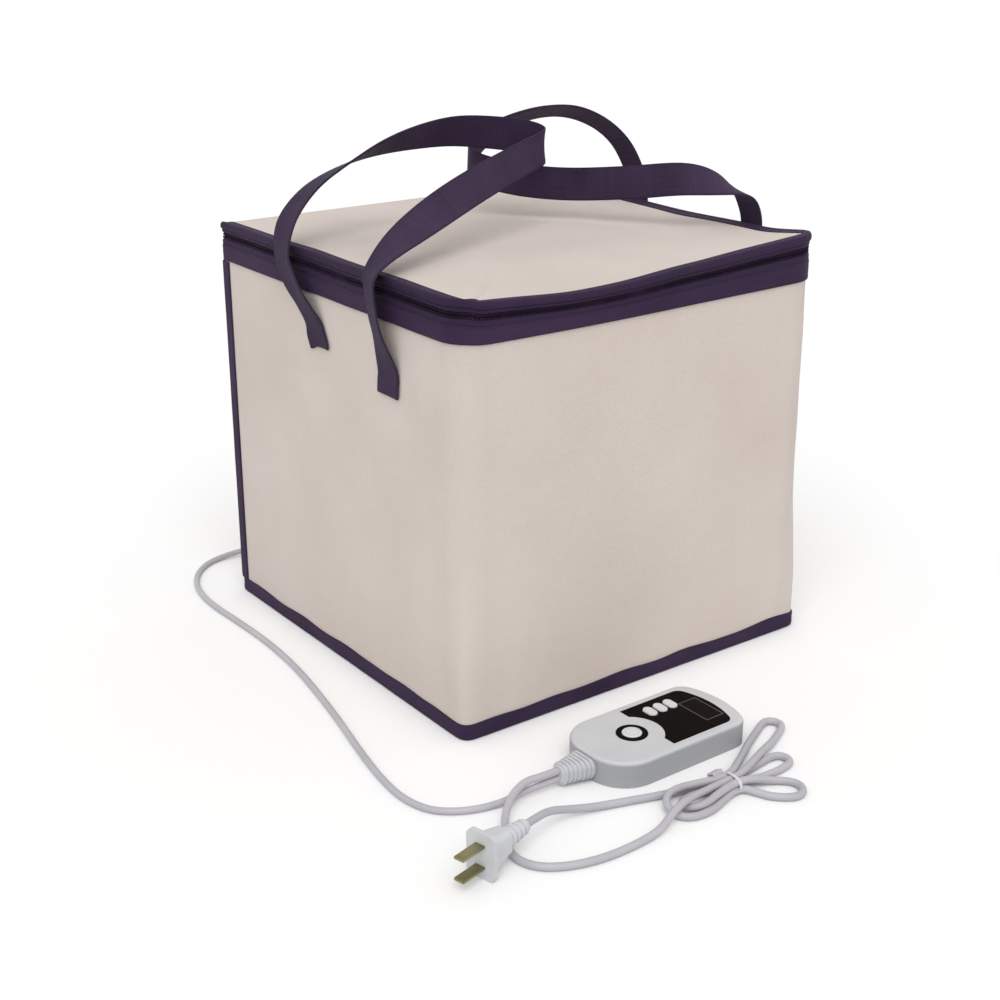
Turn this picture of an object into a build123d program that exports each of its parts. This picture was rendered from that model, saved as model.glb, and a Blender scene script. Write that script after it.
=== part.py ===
"""Folding dough proofer: a soft insulated box with a heated floor, a zipped lid, two strap handles
and a table controller on its lead. Millimetres, +Z up, origin under the middle of the box."""

import os
from math import cos, pi, radians, sin, sqrt, tan

from build123d import *

os.makedirs("parts", exist_ok=True)

# Box
width = 280.0  # left to right, over the wall cloth
depth = 280.0  # front to rear, over the wall cloth
height = 270.0  # floor to the top of the lid's piping
front_corner = 20.0  # radius of the two folded front corners, over the cloth

# Layers
cloth = 1.0
wall_foam = 8.0
lining = 0.8
board = 3.0
base_foam_thick = 8.0
felt = 1.5
foil = 0.6
mat_space = 3.0  # between felt and foil, where the wire lies
binding = 1.2
binding_height = 10.0
corner_binding_leg = 8.0

# Clearances
body_gap = 0.3  # between pieces that move past each other
seat_gap = 0.5  # round the floor layers inside the lining
snug = 0.05  # a fixed piece in its hole

# Rim and lid, counted down from the top
piping_width = 4.0
piping_height = 5.0
lid_sink = 1.2  # lid cloth below the top of the piping
lid_foam_thick = 7.0
upper_tape_height = 2.6
coil_height = 1.7
coil_width = 2.2
lower_tape_height = 5.4
band_height = 11.0
band_overlap = 1.7  # of the band over the lower tape
hinge_setback = 5.0  # from the hinge line to the ends of the zip and piping
hinge_strip_height = 23.0
hinge_relief = 1.4  # from the hinge line down to the top of the hinge strip

# Heating mat
wire_diameter = 2.4
wire_runs = 10
wire_margin = 20.0  # from the edge of the mat to the outer runs
wire_return_margin = 8.0  # from the edge of the mat to the returning run
cutoff_size = (14.0, 8.0)
terminal_size = (20.0, 16.0)
terminal_setback = 1.5  # from the edge of the mat to the terminal block
probe_radius = 3.0
probe_length = 22.0
probe_lead_radius = 1.2
probe_lead_length = 24.0
probe_from_gland = 34.0

# Cord gland in the rear wall
gland_from_side = 40.0
gland_z = 9.5
gland_neck_radius = 4.5
gland_flange_radius = 9.0
gland_flange_thick = 2.0
gland_taper_length = 25.0
gland_taper_radii = (6.0, 3.4)

# Strap handles
strap_width = 22.0
strap_thick = 1.6
strap_bow = 8.2  # of a strap off the wall where it passes the rim band
strap_stitch_drop = 56.0  # from the top of the box to the stitching's upper end
strap_end_drop = 71.0
pivot_drop = 8.0  # to where a strap leaves the rim
strap_split = 0.2  # each side of the pivot line
loop_steps = 3  # of the curve between two places of a loop

# Zip slider
slider_length = 14.0
slider_plate = 2.0
slider_rest_y = 125.0
ear_thick = 1.2
pull_pin_radius = 0.55
pull_pin_clearance = 0.05
pull_eye_radius = 1.2
pull_thick = 1.4
pull_neck_width = 5.4
pull_neck_length = 7.0
pull_width = 9.0
pull_length = 24.0

# Controller
case_length = 108.0
case_width = 59.0
case_height = 16.0
case_split = 7.5  # height of the joint between its two shells
case_wall = 2.0
case_tail_radius = 24.0
case_nose_radius = 12.0
case_nose_bow = 62.0  # radius of the nose's own gentle curve
case_top_round = 2.5
case_x, case_y, case_turn = -106.0, -212.0, 0.6
fascia_thick = 0.8
fascia_fit = 0.1
fascia_edge = 5.5  # of pale case left beside the fascia
fascia_nose_edge = 9.0  # of pale case left in front of it
fascia_bay = 19.5  # from the middle of the power button to the fascia's hollow edge
fascia_start = 47.0  # from the cord end to the fascia's straight edge
power_u = 35.6
nose_gap = 19.5  # from the nose to the middle of the display window
power_radius = 6.0
power_ring_radius = 9.5
power_ring_thick = 1.2
power_ring_stand = 0.4
power_groove = (4.5, 3.7)  # outer and inner radius of the groove in the power button
power_groove_depth = 0.4
oval_size = (10.5, 6.2)
oval_places = (46.5, 38.4, 30.4)  # from the nose
oval_v = 13.0
button_stand = 1.0  # of a button above the case
button_travel = 0.8
button_flange = 1.2
window_size = (13.5, 25.0)
window_centre = (case_length - nose_gap, -2.5)
board_thick = 1.6
board_height = 4.5  # underside of the circuit board
board_low_u, board_high_u = 21.0, case_length - 6.0
board_half_width = 16.5
board_posts = [(u, v) for u in (25.0, case_length - 16.0) for v in (-12.0, 12.0)]
board_post_radius = 2.5
switch_size = 6.0
relay_place, relay_size = (41.5, -8.0), (19.0, 13.0)  # from the nose
dropper_place, dropper_size = (60.0, -9.0), (6.0, 13.0)
storage_radius = 3.1
storage_gap = 1.5  # between the storage capacitor and the first oval's switch
storage_place = (oval_places[0] + switch_size / 2 + storage_gap + storage_radius, 12.0)  # from the nose
post_radius = 3.5
screw_radius = 1.4
screw_head_radius = 2.8
screw_head_height = 1.6
screw_sunk = 0.2  # of a head below the bottom shell's face
screw_bite = 5.0  # of a screw in the top shell
screw_slot = (3.2, 0.7, 0.8)  # long, wide, deep
screw_places = ((14.0, 0.0), (case_length - 12, 20.5), (case_length - 12, -20.5))
relief_length = 20.0
relief_root = (19.0, 11.0)
relief_tail = (8.5, 10.6)
relief_ribs = 7
relief_rib_stand = 1.1
relief_neck = (12.0, 7.0)
relief_flange_gap = 0.7  # behind the rounded end wall, which curves in towards the flange

# Cords
heater_cord_diameter = 4.0
mains_cord_diameter = 4.5
cord_lift = 0.05  # of a lying cord's underside above the table
exit_spacing = 5.0  # between the two cords' middles where they leave the case

# Plug
plug_x, plug_y, plug_turn = -178.0, -250.0, 194.4
plug_axis_height = 13.5
plug_relief_length = 18.0
plug_relief_radii = (3.6, 5.5)
plug_body_length = 16.0
plug_grip = (15.0, 20.0)
plug_flange = (19.0, 27.0)
plug_flange_thick = 3.0
blade = (6.3, 1.5)
blade_length = 17.0
blade_spacing = 12.7
blade_root = 9.0  # of a blade inside the plug

# Tied hank
hank_height = 9.9
hank_tie_place = (-49.0, -274.0)
hank_tie_radius = 6.8
hank_lobes = ((-83.0, -274.0, 13.0), (20.0, -237.0, 8.5), (-7.0, -269.0, 9.0), (-25.0, -294.0, 11.0))
tie_width = 2.5
tie_thick = 0.9

# Levels that follow
floor_of_board = cloth
floor_of_foam = floor_of_board + board
floor_of_felt = floor_of_foam + base_foam_thick
floor_of_wire = floor_of_felt + felt
floor_of_foil = floor_of_wire + mat_space
floor_of_lining = floor_of_foil + foil
chamber_floor = floor_of_lining + lining

lid_cloth_top = height - lid_sink
lid_foam_top = lid_cloth_top - cloth
lid_foam_floor = lid_foam_top - lid_foam_thick
lid_floor = lid_foam_floor - lining
upper_tape_top = height - piping_height
upper_coil_top = upper_tape_top - upper_tape_height
lower_coil_top = upper_coil_top - coil_height - body_gap
lower_tape_top = lower_coil_top - coil_height
lower_tape_floor = lower_tape_top - lower_tape_height
band_top = lower_tape_floor + band_overlap
band_floor = band_top - band_height
wall_top = lower_tape_floor - body_gap
foam_top = lid_floor - body_gap

layer_foam = cloth
layer_lining = cloth + wall_foam
layer_inside = layer_lining + lining
mat_inset = layer_inside + seat_gap
hinge_z = lid_cloth_top - cloth / 2
rear_face = depth / 2
right_face = width / 2
gland_x = gland_from_side - right_face
coil_face = right_face - body_gap * 2 + coil_width
strap_face = right_face + strap_bow
strap_stitched_top = height - strap_stitch_drop
strap_end = height - strap_end_drop
pivot_height = height - pivot_drop


def keep(piece, name):
    """Label a finished piece and write it."""
    piece.part.label = name
    export_step(piece.part, f"parts/{name}.step")


def plan(inset):
    """The box's plan, drawn in by inset: square at the rear, rounded at the front."""
    with BuildSketch(mode=Mode.PRIVATE) as outline:
        Rectangle(width - 2 * inset, depth - 2 * inset)
        fillet(outline.vertices().group_by(Axis.Y)[0], max(front_corner - inset, 1.0))
    return outline.sketch


def wall_ring(outer, inner, low, high):
    """A ring that follows the plan between two insets and two heights."""
    with BuildPart(mode=Mode.PRIVATE) as ring:
        with BuildSketch(Plane.XY.offset(low)):
            add(plan(outer))
            add(plan(inner), mode=Mode.SUBTRACT)
        extrude(amount=high - low)
    return ring.part


def cut_behind(y, low, high):
    """Take away all that lies behind y."""
    reach = width
    with BuildSketch(Plane.XY.offset(low), mode=Mode.PRIVATE) as behind:
        with Locations((0, y + reach / 2)):
            Rectangle(2 * reach, reach)
    extrude(behind.sketch, amount=high - low, mode=Mode.SUBTRACT)


def flat_sheet(name, inset, low, thick):
    """A sheet or board that covers the plan."""
    with BuildPart() as sheet:
        with BuildSketch(Plane.XY.offset(low)):
            add(plan(inset))
        extrude(amount=thick)
    keep(sheet, name)


# ---- floor of the box ----


def make_floor_layers():
    flat_sheet("base_cloth", 0.0, 0.0, cloth)
    flat_sheet("base_board", mat_inset, floor_of_board, board)
    flat_sheet("base_lining", mat_inset, floor_of_lining, lining)
    flat_sheet("heater_foil", mat_inset, floor_of_foil, foil)


terminal_y = rear_face - mat_inset - terminal_setback - terminal_size[1] / 2


def terminal_pocket():
    """The opening in foam and felt for the terminal block and the neck of the gland."""
    pocket = (terminal_size[0] + 2 * seat_gap, terminal_size[1] + 2 * seat_gap)
    with Locations((gland_x, terminal_y)):
        Rectangle(*pocket, mode=Mode.SUBTRACT)
    with Locations((gland_x, rear_face - mat_inset)):
        Rectangle(2 * gland_neck_radius + 2 * seat_gap, terminal_size[1], mode=Mode.SUBTRACT)


def make_base_foam():
    with BuildPart() as base_foam:
        with BuildSketch(Plane.XY.offset(floor_of_foam)):
            add(plan(mat_inset))
            terminal_pocket()
        extrude(amount=base_foam_thick)
    keep(base_foam, "base_foam")


def make_heater_felt():
    with BuildPart() as heater_felt:
        with BuildSketch(Plane.XY.offset(floor_of_felt)):
            add(plan(mat_inset))
            terminal_pocket()
        extrude(amount=felt)
    keep(heater_felt, "heater_felt")


wire_z = floor_of_wire + wire_diameter / 2
wire_reach_x = right_face - mat_inset - wire_margin
wire_reach_y = rear_face - mat_inset - wire_margin - terminal_size[1]
wire_front = -(rear_face - mat_inset - wire_margin)
wire_pitch = (wire_reach_y - wire_front) / (wire_runs - 1)


def wire_route():
    """From the terminal block, to and fro over the mat, and back along its left edge."""
    block_front = terminal_y - terminal_size[1] / 2
    lead = terminal_size[0] / 4
    points = [(gland_x + lead, block_front, wire_z)]
    points.append((gland_x + lead, wire_reach_y, wire_z))
    for run in range(wire_runs):
        y = wire_reach_y - run * wire_pitch
        near, far = (-wire_reach_x, wire_reach_x) if run % 2 == 0 else (wire_reach_x, -wire_reach_x)
        if run:
            points.append((near, y, wire_z))
        if run < wire_runs - 1:
            points.append((far, y, wire_z))
    edge = -(right_face - mat_inset - wire_return_margin)
    turn_back = (wire_reach_y + block_front) / 2
    points.append((edge, wire_front, wire_z))
    points.append((edge, turn_back, wire_z))
    points.append((gland_x - lead, turn_back, wire_z))
    points.append((gland_x - lead, block_front, wire_z))
    return points


def make_heating_wire():
    points = wire_route()
    with BuildPart() as heating_wire:
        with BuildLine() as route:
            FilletPolyline(*points, radius=min(wire_pitch * 0.4, wire_diameter * 1.2))
        with BuildSketch(Plane(route.line @ 0, z_dir=route.line % 0)):
            Circle(wire_diameter / 2)
        sweep(path=route.line)
    keep(heating_wire, "heating_wire")


def make_thermal_cutoff():
    y = wire_reach_y - (wire_runs // 2 - 0.5) * wire_pitch
    with BuildPart() as thermal_cutoff:
        with BuildSketch(Plane.XY.offset(floor_of_wire)):
            with Locations((0, y)):
                RectangleRounded(*cutoff_size, 2)
        extrude(amount=mat_space)
    keep(thermal_cutoff, "thermal_cutoff")


def make_terminal_block():
    with BuildPart() as mat_terminal_block:
        with BuildSketch(Plane.XY.offset(floor_of_foam)):
            with Locations((gland_x, terminal_y)):
                RectangleRounded(*terminal_size, 1)
        extrude(amount=floor_of_foil - floor_of_foam)
    keep(mat_terminal_block, "mat_terminal_block")


def make_temperature_probe():
    y = rear_face - layer_inside - probe_radius
    with BuildPart() as temperature_probe:
        with BuildSketch(Plane.XY.offset(chamber_floor)):
            with Locations((gland_x + probe_from_gland, y)):
                Circle(probe_lead_radius)
        extrude(amount=probe_lead_length)
        with BuildSketch(Plane.XY.offset(chamber_floor + probe_lead_length)):
            with Locations((gland_x + probe_from_gland, y)):
                Circle(probe_radius)
        extrude(amount=probe_length)
        fillet(temperature_probe.faces().sort_by(Axis.Z)[-1].edges(), probe_radius * 0.6)
    keep(temperature_probe, "temperature_probe")


def make_bottom_binding():
    with BuildPart() as bottom_binding:
        add(wall_ring(-binding, 0.0, 0.0, binding_height))
        with BuildSketch():
            with Locations((gland_x, rear_face)):
                Rectangle(2 * (gland_flange_radius + snug), 4 * binding)
        extrude(amount=binding_height, mode=Mode.SUBTRACT)
    keep(bottom_binding, "bottom_binding")


# ---- walls ----


def gland_hole(plane_y, length):
    """A hole through a rear layer for the neck of the gland."""
    with BuildSketch(Plane.XZ.offset(-plane_y), mode=Mode.PRIVATE) as hole:
        with Locations((gland_x, gland_z)):
            Circle(gland_neck_radius + snug)
    extrude(hole.sketch, amount=length, mode=Mode.SUBTRACT)


def make_wall_cloth():
    with BuildPart() as wall_cloth:
        add(wall_ring(0.0, cloth, cloth, wall_top))
        cut_behind(rear_face - cloth, 0, height)
    keep(wall_cloth, "wall_cloth")


def make_rear_cloth():
    with BuildPart() as rear_cloth:
        with BuildSketch(Plane.XY.offset(cloth)):
            with Locations((0, rear_face - cloth / 2)):
                Rectangle(width, cloth)
        extrude(amount=height - hinge_strip_height - hinge_relief - body_gap - cloth)
        gland_hole(rear_face, cloth)
    keep(rear_cloth, "rear_cloth")


def make_corner_bindings():
    """The two bindings that close the rear seams, one node."""
    low, high = binding_height, band_floor - body_gap
    leg = corner_binding_leg
    with BuildPart() as corner_bindings:
        with BuildSketch(Plane.XY.offset(low)):
            middle = (binding - leg) / 2
            for side in (-1, 1):
                with Locations((side * (right_face + middle), rear_face + middle)):
                    Rectangle(leg + binding, leg + binding)
            with Locations((0, rear_face - depth / 2)):
                Rectangle(width, depth, mode=Mode.SUBTRACT)
        extrude(amount=high - low)
    keep(corner_bindings, "corner_bindings")


def make_front_foam():
    with BuildPart() as front_foam:
        add(wall_ring(layer_foam, layer_lining, cloth, foam_top))
        cut_behind(-(rear_face - front_corner), 0, height)
    keep(front_foam, "front_foam")


def make_side_foam(side, name):
    low_y, high_y = -(rear_face - front_corner), rear_face - cloth
    with BuildPart() as side_foam:
        with BuildSketch(Plane.XY.offset(cloth)):
            with Locations((side * (right_face - layer_foam - wall_foam / 2), (low_y + high_y) / 2)):
                Rectangle(wall_foam, high_y - low_y)
        extrude(amount=foam_top - cloth)
    keep(side_foam, name)


def make_rear_foam():
    with BuildPart() as rear_foam:
        with BuildSketch(Plane.XY.offset(cloth)):
            with Locations((0, rear_face - layer_foam - wall_foam / 2)):
                Rectangle(width - 2 * layer_lining, wall_foam)
        extrude(amount=foam_top - cloth)
        gland_hole(rear_face - layer_foam, wall_foam)
    keep(rear_foam, "rear_foam")


def make_wall_lining():
    with BuildPart() as wall_lining:
        add(wall_ring(layer_lining, layer_inside, cloth, foam_top))
        gland_hole(rear_face - layer_lining, lining)
    keep(wall_lining, "wall_lining")


def make_cord_gland():
    neck_length = mat_inset + terminal_setback
    with BuildPart() as cord_gland:
        with BuildSketch(Plane.XZ.offset(-(rear_face - neck_length))):
            with Locations((gland_x, gland_z)):
                Circle(gland_neck_radius)
        extrude(amount=-neck_length)
        with BuildSketch(Plane.XZ.offset(-rear_face)):
            with Locations((gland_x, gland_z)):
                Circle(gland_flange_radius)
        extrude(amount=-gland_flange_thick)
        for reach, radius in zip((0.0, gland_taper_length), gland_taper_radii):
            with BuildSketch(Plane.XZ.offset(-(rear_face + gland_flange_thick + reach))):
                with Locations((gland_x, gland_z)):
                    Circle(radius)
        loft()
    keep(cord_gland, "cord_gland")


# ---- rim ----


def make_rim_band():
    with BuildPart() as rim_band:
        add(wall_ring(-body_gap - binding, -body_gap, band_floor, band_top))
        cut_behind(rear_face - cloth, 0, height)
    keep(rim_band, "rim_band")


def make_lower_tape():
    with BuildPart() as lower_zip_tape:
        add(wall_ring(-body_gap, cloth - body_gap, lower_tape_floor, lower_tape_top))
        cut_behind(rear_face - cloth, 0, height)
    keep(lower_zip_tape, "lower_zip_tape")


def make_coil(name, top, end_y):
    """One half of the zip's coil, as the bead that its teeth fill."""
    inner = cloth - body_gap
    with BuildPart() as coil:
        add(wall_ring(inner - coil_width, inner, top - coil_height, top))
        cut_behind(end_y, 0, height)
    keep(coil, name)


def make_hinge_strip():
    top = hinge_z - hinge_relief
    with BuildPart() as hinge_strip:
        with BuildSketch(Plane.XY.offset(height - hinge_strip_height - hinge_relief)):
            with Locations((0, rear_face + body_gap - cloth / 2)):
                Rectangle(width - 2 * cloth, cloth - body_gap)
        extrude(amount=top - (height - hinge_strip_height - hinge_relief))
    keep(hinge_strip, "hinge_strip")


# ---- lid ----


def make_lid_layers():
    piping_inner = piping_width / 2
    flat_sheet("lid_lining", cloth, lid_floor, lining)
    flat_sheet("lid_foam", piping_inner + body_gap, lid_foam_floor, lid_foam_thick)
    flat_sheet("lid_cloth", piping_inner, lid_foam_top, cloth)


def make_lid_piping():
    half = piping_width / 2
    with BuildPart() as lid_piping:
        add(wall_ring(-half, half, upper_tape_top, height))
        cut_behind(rear_face - hinge_setback, 0, height + 1)
        fillet(lid_piping.edges().group_by(Axis.Z)[-1], 1.5)
    keep(lid_piping, "lid_piping")


def make_upper_tape():
    with BuildPart() as upper_zip_tape:
        add(wall_ring(-body_gap, cloth - body_gap, upper_coil_top, upper_tape_top))
        cut_behind(rear_face - hinge_setback, 0, height)
    keep(upper_zip_tape, "upper_zip_tape")


# ---- zip slider and its pull ----

plate_low = lower_tape_top - 2.5
plate_high = upper_tape_top - 2 * body_gap
plate_inner = coil_face + body_gap
plate_outer = plate_inner + slider_plate
pull_x = plate_outer + body_gap + pull_eye_radius
pull_pin_z = plate_high - 2.4


def make_zip_slider():
    """A plate outside the coils, a lip under the lower coil, and two ears with the pull's pin."""
    lip_inner = right_face + 2 * body_gap
    lip_top = lower_tape_top - body_gap
    ear_middle = pull_neck_width / 2 + body_gap + ear_thick / 2
    with BuildPart() as zip_slider:
        with BuildSketch(Plane.YZ.offset(plate_inner)):
            with Locations((slider_rest_y, (plate_low + plate_high) / 2)):
                RectangleRounded(slider_length, plate_high - plate_low, 2.5)
        extrude(amount=slider_plate)
        with BuildSketch(Plane.YZ.offset(lip_inner)):
            with Locations((slider_rest_y, (plate_low + lip_top) / 2)):
                Rectangle(slider_length - 5, lip_top - plate_low)
        extrude(amount=plate_inner - lip_inner)
        for side in (-1, 1):
            with BuildSketch(Plane.YZ.offset(plate_outer)):
                with Locations((slider_rest_y + side * ear_middle, pull_pin_z)):
                    Rectangle(ear_thick, 2 * pull_eye_radius)
            extrude(amount=2 * pull_eye_radius + 2 * body_gap)
        with BuildSketch(Plane.XZ.offset(-(slider_rest_y - ear_middle))):
            with Locations((pull_x, pull_pin_z)):
                Circle(pull_pin_radius)
        extrude(amount=-2 * ear_middle)
    keep(zip_slider, "zip_slider")


def make_zip_pull():
    """A flat tab with a slot, hung from the pin by a rolled eye."""
    low = pull_pin_z - pull_length
    half_neck = pull_neck_width / 2
    with BuildPart() as zip_pull:
        with BuildSketch(Plane.YZ.offset(pull_x - pull_thick / 2)):
            with Locations((slider_rest_y, pull_pin_z - pull_neck_length / 2)):
                Rectangle(pull_neck_width, pull_neck_length)
            with Locations((slider_rest_y, (low + pull_pin_z - pull_neck_length) / 2 + 1)):
                RectangleRounded(pull_width, pull_length - pull_neck_length + 2, 3)
            with Locations((slider_rest_y, low + 5)):
                SlotOverall(4.5, 2.5, mode=Mode.SUBTRACT)
        extrude(amount=pull_thick)
        with BuildSketch(Plane.XZ.offset(-(slider_rest_y - half_neck))):
            with Locations((pull_x, pull_pin_z)):
                Circle(pull_eye_radius)
        extrude(amount=-pull_neck_width)
        with BuildSketch(Plane.XZ.offset(-(slider_rest_y - half_neck))):
            with Locations((pull_x, pull_pin_z)):
                Circle(pull_pin_radius + pull_pin_clearance)
        extrude(amount=-pull_neck_width, mode=Mode.SUBTRACT)
    keep(zip_pull, "zip_pull")


# ---- strap handles ----


def smoothed(points, steps):
    """More places along a route, on a curve through the ones given."""
    places = [points[0]]
    for index in range(len(points) - 1):
        near = points[max(index - 1, 0)]
        start, end = points[index], points[index + 1]
        far = points[min(index + 2, len(points) - 1)]
        for step in range(1, steps + 1):
            t = step / steps
            place = []
            for a, b, c, d in zip(near, start, end, far):
                bend = 2 * a - 5 * b + 4 * c - d
                place.append(b + (c - a) * t / 2 + bend * t**2 / 2 + (3 * b - 3 * c + d - a) * t**3 / 2)
            places.append(tuple(place))
    return places


def strap_section(points, index, flat):
    """A plane across the strap: its width turns from along the wall (0 degrees) to upright (90).

    A flat strap keeps its faces square to X. Both ends are cut level.
    """
    x, y, z, twist = points[index]
    if index == 0:
        along = Vector(0, 0, 1)
    elif index == len(points) - 1:
        along = Vector(0, 0, 1 if flat else -1)
    else:
        along = Vector(*points[index + 1][:3]) - Vector(*points[index - 1][:3])
    if flat:
        along = Vector(0, along.Y, along.Z)
    along = along.normalized()
    level = Vector(0, cos(radians(twist)), sin(radians(twist)))
    across = (level - along * level.dot(along)).normalized()
    return Plane(origin=(x, y, z), x_dir=across, z_dir=along)


def add_strap(points, flat=False):
    """A strap through a list of places, each with its twist."""
    with BuildPart(mode=Mode.PRIVATE) as strap:
        for index in range(len(points)):
            with BuildSketch(strap_section(points, index, flat)):
                Rectangle(strap_width, strap_thick)
        loft(ruled=True)
    return strap.part


def strap_leg(side, y_end, y_stitched, y_top, lift):
    """One end of a strap: stitched to the wall, then bowed off it past the rim band."""
    wall = right_face + body_gap + strap_thick / 2
    stitched_top = strap_stitched_top + lift
    rise = pivot_height - strap_split - stitched_top
    lean = y_top - y_stitched
    places = [(side * wall, y_end, strap_end + lift, 0)]
    steps = ((0.0, 0.0), (0.22, 0.5), (0.44, 1.0), (0.7, 1.0), (1.0, 1.0))
    for share, bow in steps:
        x = wall + bow * (strap_face - wall)
        places.append((side * x, y_stitched + share * lean, stitched_top + share * rise, 0))
    return places


# Places of the straps' ends on a side wall: at the end, at the top stitch and at the pivot, and how much
# higher than the others an end is stitched on
left_ends = ((12.0, 18.0, 42.0, 12.0), (-66.0, -67.0, -60.0, 0.0))
right_ends = ((-52.0, -55.0, -76.0, 0.0), (36.0, 37.0, 45.0, 0.0))


def make_strap_legs(side, ends, name):
    deep = rear_face / drawn_rear
    with BuildPart() as legs:
        for *along_wall, lift in ends:
            add(add_strap(strap_leg(side, *[y * deep for y in along_wall], lift), flat=True))
    keep(legs, name)


drawn_face = 148.2  # of a strap at the pivots of the box that the loops are drawn on
drawn_rear = 140.0
# Places of the two loops on a box 280 mm each way, with their heights above the pivots
left_loop = [
    (-148.2, 42, 0.2, 0),
    (-147, 43, 13, 0),
    (-139, 46, 27, -4),
    (-121, 50, 41, -10),
    (-98, 52, 51, -18),
    (-72, 52, 58, -34),
    (-44, 49, 62, -52),
    (-16, 44, 63, -68),
    (10, 35, 61, -82),
    (28, 25, 59, -90),
    (34, 16, 57, -90),
    (29, 8, 55, -94),
    (8, 1, 52, -100),
    (-20, -8, 47, -108),
    (-52, -20, 41, -120),
    (-84, -34, 34, -138),
    (-112, -46, 26, -156),
    (-134, -55, 17, -172),
    (-146.8, -59, 8, -180),
    (-148.2, -60, 0.2, -180),
]
right_loop = [
    (148.2, -76, 0.2, 0),
    (147, -76, 13, 0),
    (140, -74, 26, 8),
    (124, -67, 36, 34),
    (102, -52, 41, 62),
    (76, -27, 41, 82),
    (50, 3, 38, 90),
    (30, 28, 37, 90),
    (15, 49, 39, 90),
    (10, 62, 42, 90),
    (16, 72, 47, 98),
    (32, 77, 56, 116),
    (54, 77, 65, 138),
    (78, 74, 70, 150),
    (102, 69, 69, 157),
    (123, 62, 60, 165),
    (138, 55, 45, 173),
    (146.2, 48, 23, 180),
    (147.8, 46, 8, 180),
    (148.2, 45, 0.2, 180),
]


def make_strap_loop(points, name):
    """A loop's drawn places, brought to this box's width and depth and set above its pivots."""
    wide, deep = strap_face / drawn_face, rear_face / drawn_rear
    places = [(x * wide, y * deep, z + pivot_height, twist) for x, y, z, twist in points]
    with BuildPart() as loop:
        add(add_strap(smoothed(places, loop_steps)))
    keep(loop, name)


# ---- controller ----

case_plane = Plane(
    origin=(case_x, case_y, 0),
    x_dir=(cos(radians(case_turn)), sin(radians(case_turn)), 0),
    z_dir=(0, 0, 1),
)


def case_level(z):
    """The controller's own plane at a height: x runs from its cord end to its nose."""
    return case_plane.offset(z)


def case_outline(inset):
    """The controller's plan: a gently curved nose and a rounded cord end."""
    half_width = case_width / 2 - inset
    bow_start = case_length - case_nose_bow + sqrt((case_nose_bow - inset) ** 2 - half_width**2)
    with BuildSketch(mode=Mode.PRIVATE) as outline:
        with BuildLine():
            Polyline((bow_start, -half_width), (inset, -half_width), (inset, half_width))
            Line((inset, half_width), (bow_start, half_width))
            ThreePointArc((bow_start, half_width), (case_length - inset, 0), (bow_start, -half_width))
        make_face()
        tail = outline.vertices().group_by(Axis.X)[0]
        fillet(tail, case_tail_radius - inset)
        nose = outline.vertices().group_by(Axis.X)[-1]
        fillet(nose, case_nose_radius - inset)
    return outline.sketch


def relief_cut():
    """The opening in the cord end for the neck of the strain relief."""
    with BuildSketch(relief_plane(0), mode=Mode.PRIVATE) as opening:
        Rectangle(relief_neck[0] + 2 * snug, relief_neck[1] + 2 * snug)
    extrude(opening.sketch, amount=2 * case_wall, mode=Mode.SUBTRACT)


def make_bottom_shell():
    floor = case_wall
    with BuildPart() as controller_bottom:
        with BuildSketch(case_level(0)):
            add(case_outline(0))
        extrude(amount=case_split)
        with BuildSketch(case_level(floor)):
            add(case_outline(case_wall))
        extrude(amount=case_split - floor, mode=Mode.SUBTRACT)
        with BuildSketch(case_level(floor)):
            with Locations(*screw_places):
                Circle(post_radius)
        extrude(amount=case_split - floor)
        with BuildSketch(case_level(floor)):
            with Locations(*board_posts):
                Circle(board_post_radius)
        extrude(amount=board_height - floor)
        with BuildSketch(case_level(0)):
            with Locations(*screw_places):
                Circle(screw_radius + snug)
        extrude(amount=case_split, mode=Mode.SUBTRACT)
        with BuildSketch(case_level(0)):
            with Locations(*screw_places):
                Circle(screw_head_radius + snug)
        extrude(amount=screw_head_height, mode=Mode.SUBTRACT)
        relief_cut()
    keep(controller_bottom, "controller_bottom")


fascia_floor = case_height - fascia_thick


def fascia_outline(fit):
    """The dark panel: the nose half of the top, hollowed round the power button."""
    with BuildSketch(mode=Mode.PRIVATE) as outline:
        with Locations((fascia_edge - fascia_nose_edge, 0)):
            add(case_outline(fascia_edge - fit))
        with Locations((fascia_start - fit - case_length / 2, 0)):
            Rectangle(case_length, case_width, mode=Mode.SUBTRACT)
        with Locations((power_u, 0)):
            Circle(fascia_bay - fit, mode=Mode.SUBTRACT)
    return outline.sketch


def oval_openings(clearance):
    """The three oval buttons' places."""
    for back in oval_places:
        with Locations((case_length - back, oval_v)):
            SlotOverall(oval_size[0] + 2 * clearance, oval_size[1] + 2 * clearance, rotation=90)


def window_opening(clearance):
    with Locations(window_centre):
        Rectangle(window_size[0] + 2 * clearance, window_size[1] + 2 * clearance)


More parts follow.
